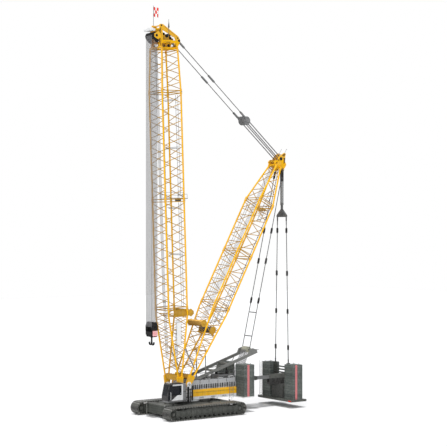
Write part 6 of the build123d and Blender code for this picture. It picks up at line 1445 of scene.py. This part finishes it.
drum = lathe(DERRICK(u, 0, s), Y_AXIS, [(0.06, -0.74), (0.20, -0.74), *rows, (0.20, 0.74), (0.06, 0.74)], 28)
piece("derrick_inner_drum", [drum], BAR_GREY, "derrick", "rope_steel")
hub = [(0, 0), (0.12, 0), (0.12, 0.02), (0.07, 0.03), (0, 0.032)]
cheeks = [plates(DERRICK, lug(u, s, 0.27, s - 0.38, 0.20, 30, 16), [-0.77, 0.77], 0.03, 0.005)]
cheeks += [lathe(DERRICK(u, side * 0.786, s), (0, side, 0), hub, 20) for side in SIDES]
cheeks += [bar(DERRICK, u + du, s - 0.36, 0.86, 0.035) for du in (-0.22, 0.22)]
piece("derrick_inner_drum_frame", cheeks, DEEP_YELLOW, "derrick")
ladder("derrick_side_ladder_low", DERRICK, ((-0.47, 0.78), (-0.13, 0.78)), 5.2, 8.4, *SIDE_LADDER, "derrick")
ladder("derrick_side_ladder_high", DERRICK, ((-0.33, 0.66), (-0.03, 0.66)), 14.0, 16.6, *SIDE_LADDER, "derrick")
ladder("derrick_side_ladder_foot", DERRICK, ((-0.05, 0.78), (0.25, 0.78)), 4.9, 6.4, *SIDE_LADDER, "derrick")
corners = BOOM(np.array([-1.16, -1.16, -0.70]), np.array([0.27, 0.83, 0.83]), 14.34)
rest = [
    blocks(BOOM(-0.72, 0.55, 14.02), (0.95, 0.62, 0.05), 0.008, BOOM.axes),
    blocks(BOOM(-0.55, 0.50, 13.90), (0.30, 0.40, 0.18), 0.012, BOOM.axes),
    *[rods(BOOM(u, v, 14.04), BOOM(u, v, 14.34), 0.012) for u in (-1.16, -0.70) for v in (0.27, 0.83)],
    rods(corners[:-1], corners[1:], 0.012),
]
piece("boom_rest_platform", rest, BAR_GREY, "main_boom")
v, shift, inner_v = np.linspace(-0.56, -0.20, 6), 0.04 * (np.arange(6) % 2), np.linspace(0.10, 0.42, 5)
lines = [rods(BOOM(0.24 + shift, v, 2.1), BOOM(0.34 + shift, v, 6.4), 0.014),
         rods(BOOM(-0.05, inner_v, 1.35), BOOM(-0.30, inner_v * 1.4, 4.9), 0.012)]
piece("boom_foot_lines", lines, ROPE, "main_boom")


# ---------------------------------------------------------------- webs, bosses and painted shade patches of the heads
webs = [
    plates(BOOM, [(-0.62, 25.86), (0.42, 25.86), (0.42, 26.50), (-0.52, 26.06)], [-0.34, 0.34], 0.02),
    plates(BOOM, [(-0.50, 25.34), (0.50, 25.34), (0.50, 25.60), (-0.58, 25.60)], [0], 0.03),
]
piece("head_inner_webs", webs, DEEP_YELLOW, "main_boom")
# dark brown patches on the boom head cheeks: painted shade
BOOM_SHADE_PATCHES = (
    [(0.66, 25.32), (0.84, 25.90), (0.66, 26.02)], [(0.64, 26.34), (0.80, 26.52), (0.60, 26.80)],
    [(-0.74, 25.34), (-0.30, 25.34), (-0.66, 25.56)], [(-0.22, 25.66), (0.16, 25.66), (0.10, 25.74), (-0.22, 25.73)],
    [(-0.40, 26.40), (-0.16, 26.54), (-0.34, 26.46)], [(0.06, 26.72), (0.24, 26.84), (0.14, 26.82)],
    [(0.30, 25.30), (0.52, 25.30), (0.52, 25.56), (0.42, 25.58)],
)
shade_patch_plates = [plates(BOOM, outline, [-0.592, 0.592], 0.018, 0.003) for outline in BOOM_SHADE_PATCHES]
piece("head_shade_patches", shade_patch_plates, SHADED, "main_boom")


def turned_on(place, spots, v, profile, sides):
    """A turned part at each (u, s, radius) on both cheeks of a head: its profile is in shares of the radius."""
    return [
        lathe(place(u, side * v, s), (0, side, 0), [(r * share, h) for share, h in profile], sides)
        for side in SIDES for u, s, r in spots
    ]


BOSS = [(0, 0), (1, 0), (1, 0.03), (0.6, 0.045), (0.55, 0.10), (0, 0.105)]
bosses = turned_on(BOOM, [(-0.05, 26.20, 0.13), (-0.34, 26.06, 0.10), (0.22, 26.34, 0.09), (-0.20, 25.46, 0.11),
                          (0.22, 25.46, 0.09)], 0.355, BOSS, 22)
COVER = [(0, 0), (1, 0), (1, 0.012), (0.6, 0.022), (0, 0.024)]
bosses += turned_on(BOOM, [(0.98, 26.17, 0.10), (-1.0, 25.85, 0.10), (0.54, 26.93, 0.07), (-0.88, 26.04, 0.06)],
                    0.592, COVER, 22)
piece("head_bosses", bosses, DARK, "main_boom")
ribs = []
for ends in (((0.60, 25.26), (0.60, 26.72)), ((-0.80, 25.60), (0.42, 25.74)), ((0.30, 26.86), (-0.82, 26.12))):
    a, b = np.array(ends)
    square = np.array([-(b - a)[1], (b - a)[0]]) / np.linalg.norm(b - a) * 0.012
    ribs.append(plates(BOOM, [a - square, b - square, b + square, a + square], [-0.605, 0.605], 0.03))
piece("head_cheek_ribs", ribs, DEEP_YELLOW, "main_boom")
sockets = []
for side in SIDES:
    for share in ((0.0, 0.055), (0.90, 0.985)):
        a, b = (np.array([BALLAST_X, side * (0.565 + 0.26 * end), 15.0 - 11.6 * end]) for end in share)
        sockets.append(tube(a + np.linspace(0.02, 1, 6)[:, None] * (b - a), 0.042, 10))
piece("strand_sockets", sockets, BAR_GREY, "ballast", "stay_steel")
# pale cover blocks over the head sheaves; their pale colour is partly a painted highlight
highlight_covers = [
    blocks(BOOM(1.20, -0.02, 26.60), (0.46, 0.92, 0.16), 0.02, BOOM.axes),
    blocks(BOOM(1.16, 0.0, 26.72), (0.26, 0.50, 0.12), 0.02, BOOM.axes),
]
piece("head_sheave_cover_highlight", highlight_covers, LIGHT, "main_boom")


def foot_lacing(place, half_width, half_depth, first, last, body, name):
    """Rods to and fro between the two legs of an arm's foot, on both flat faces, as the face opens out with s."""
    s = np.linspace(first, last, 9)
    v = np.where(np.arange(9) % 2, half_width, -half_width)
    parts = []
    for face in SIDES:
        u = face * half_depth * (s - 0.35) / (last - 0.35)
        parts += [rods(ends[:-1], ends[1:], 0.017) for ends in (place(u, v, s), place(u, -v, s))]
    piece(name, parts, DEEP_YELLOW, body)


foot_lacing(BOOM, 0.86, 0.80, 1.15, 5.2, "main_boom", "boom_foot_lacing")
foot_lacing(DERRICK, 0.90, 0.68, 1.2, 6.0, "derrick", "derrick_foot_lacing")
steps = []
for side in SIDES:
    tops = [(-3.05, side * 1.02, 1.18), (-3.35, side * 0.98, 1.18)]
    feet = [(-3.02, side * 1.06, 0.62), (-3.38, side * 0.98, 0.70)]
    steps += [rods(tops, feet, 0.020), rods((-3.03, side * 1.04, 0.90), (-3.36, side * 0.98, 0.94), 0.012)]
piece("frame_hanging_steps", steps, LIGHT, UPPER)

# dark brown patches on the derrick head cheeks: painted shade
DERRICK_SHADE_PATCHES = (
    [(-0.40, 19.30), (-0.24, 19.62), (-0.30, 19.84), (-0.44, 19.50)],
    [(-0.16, 19.86), (0.06, 19.84), (-0.06, 20.08), (-0.16, 20.10)],
    [(0.16, 18.94), (0.34, 18.90), (0.26, 19.20)], [(-0.34, 18.86), (-0.12, 18.86), (-0.30, 19.08)],
)
shade_patch_plates = [plates(DERRICK, outline, [-0.418, 0.418], 0.016, 0.003) for outline in DERRICK_SHADE_PATCHES]
piece("derrick_head_shade_patches", shade_patch_plates, SHADED, "derrick")
HUB = [(0, 0), (1, 0), (1, 0.02), (0.6, 0.03), (0, 0.032)]
hubs = turned_on(DERRICK, [(0.04, 19.54, 0.13), (-0.50, 18.85, 0.06), (-0.22, 19.70, 0.05), (0.20, 19.34, 0.05)],
                 0.418, HUB, 20)
piece("derrick_head_hubs", hubs, DARK, "derrick")

# ---------------------------------------------------------------- stage, light and camera
FLOOR_REACH, FLOOR_Z = 150.0, -0.002
paper = bpy.data.materials.new("floor_paper")
paper.use_nodes = True
t = Shader(paper.node_tree)
tone = t.mix(t.noise(t.place(), 3.0), (0.83, 0.83, 0.83), (0.81755, 0.81755, 0.81755))
t.fill(paper.node_tree.nodes["Principled BSDF"].inputs, Base_Color=tone, Roughness=0.95, Specular_IOR_Level=0.1)
floor_mesh = bpy.data.meshes.new("floor")
floor_corners = [(x, y, FLOOR_Z) for x, y in oblong(-FLOOR_REACH, FLOOR_REACH, -FLOOR_REACH, FLOOR_REACH)]
floor_mesh.from_pydata(floor_corners, [], [(0, 1, 2, 3)])
floor_mesh.materials.append(paper)
floor = bpy.data.objects.new("floor", floor_mesh)
bpy.context.scene.collection.objects.link(floor)

# a dim sky that the camera, mirrors and glass see as plain white
world = bpy.data.worlds.new("studio")
bpy.context.scene.world = world
world.use_nodes = True
t = Shader(world.node_tree)
rays = t.node("LightPath").outputs
seen = t.maximum(t.maximum(rays["Is Camera Ray"], rays["Is Transmission Ray"]), rays["Is Glossy Ray"])
t.fill(world.node_tree.nodes["Background"].inputs, Strength=t.multiply_add(seen, 0.65, 0.35),
       Color=t.mix(seen, (0.93, 0.95, 1.0), (1, 1, 1)))


def sun(name, towards, strength, spread):
    """A distant lamp that shines along a direction."""
    lamp = bpy.data.lights.new(name, "SUN")
    lamp.energy, lamp.angle = strength, math.radians(spread)
    made = bpy.data.objects.new(name, lamp)
    made.rotation_euler = Vector(towards).to_track_quat("-Z", "Y").to_euler()
    bpy.context.scene.collection.objects.link(made)


sun("key_light", (-0.05, -0.06, -1.0), 2.6, 2)
sun("front_light", (-0.80, -0.75, -0.27), 1.95, 65)

camera = bpy.data.cameras.new("camera")
camera.lens, camera.sensor_width, camera.shift_y, camera.clip_end = 106.3, 36, 0.008, 500
viewer = bpy.data.objects.new("camera", camera)
turned = Vector((-0.58254, -0.81280, 0)).to_track_quat("-Z", "Y")
viewer.matrix_world = Matrix.LocRotScale(Vector((56.19, 82.96, 14.20)), turned, None)
bpy.context.scene.collection.objects.link(viewer)
bpy.context.scene.camera = viewer
bpy.context.scene.view_settings.view_transform = "Standard"
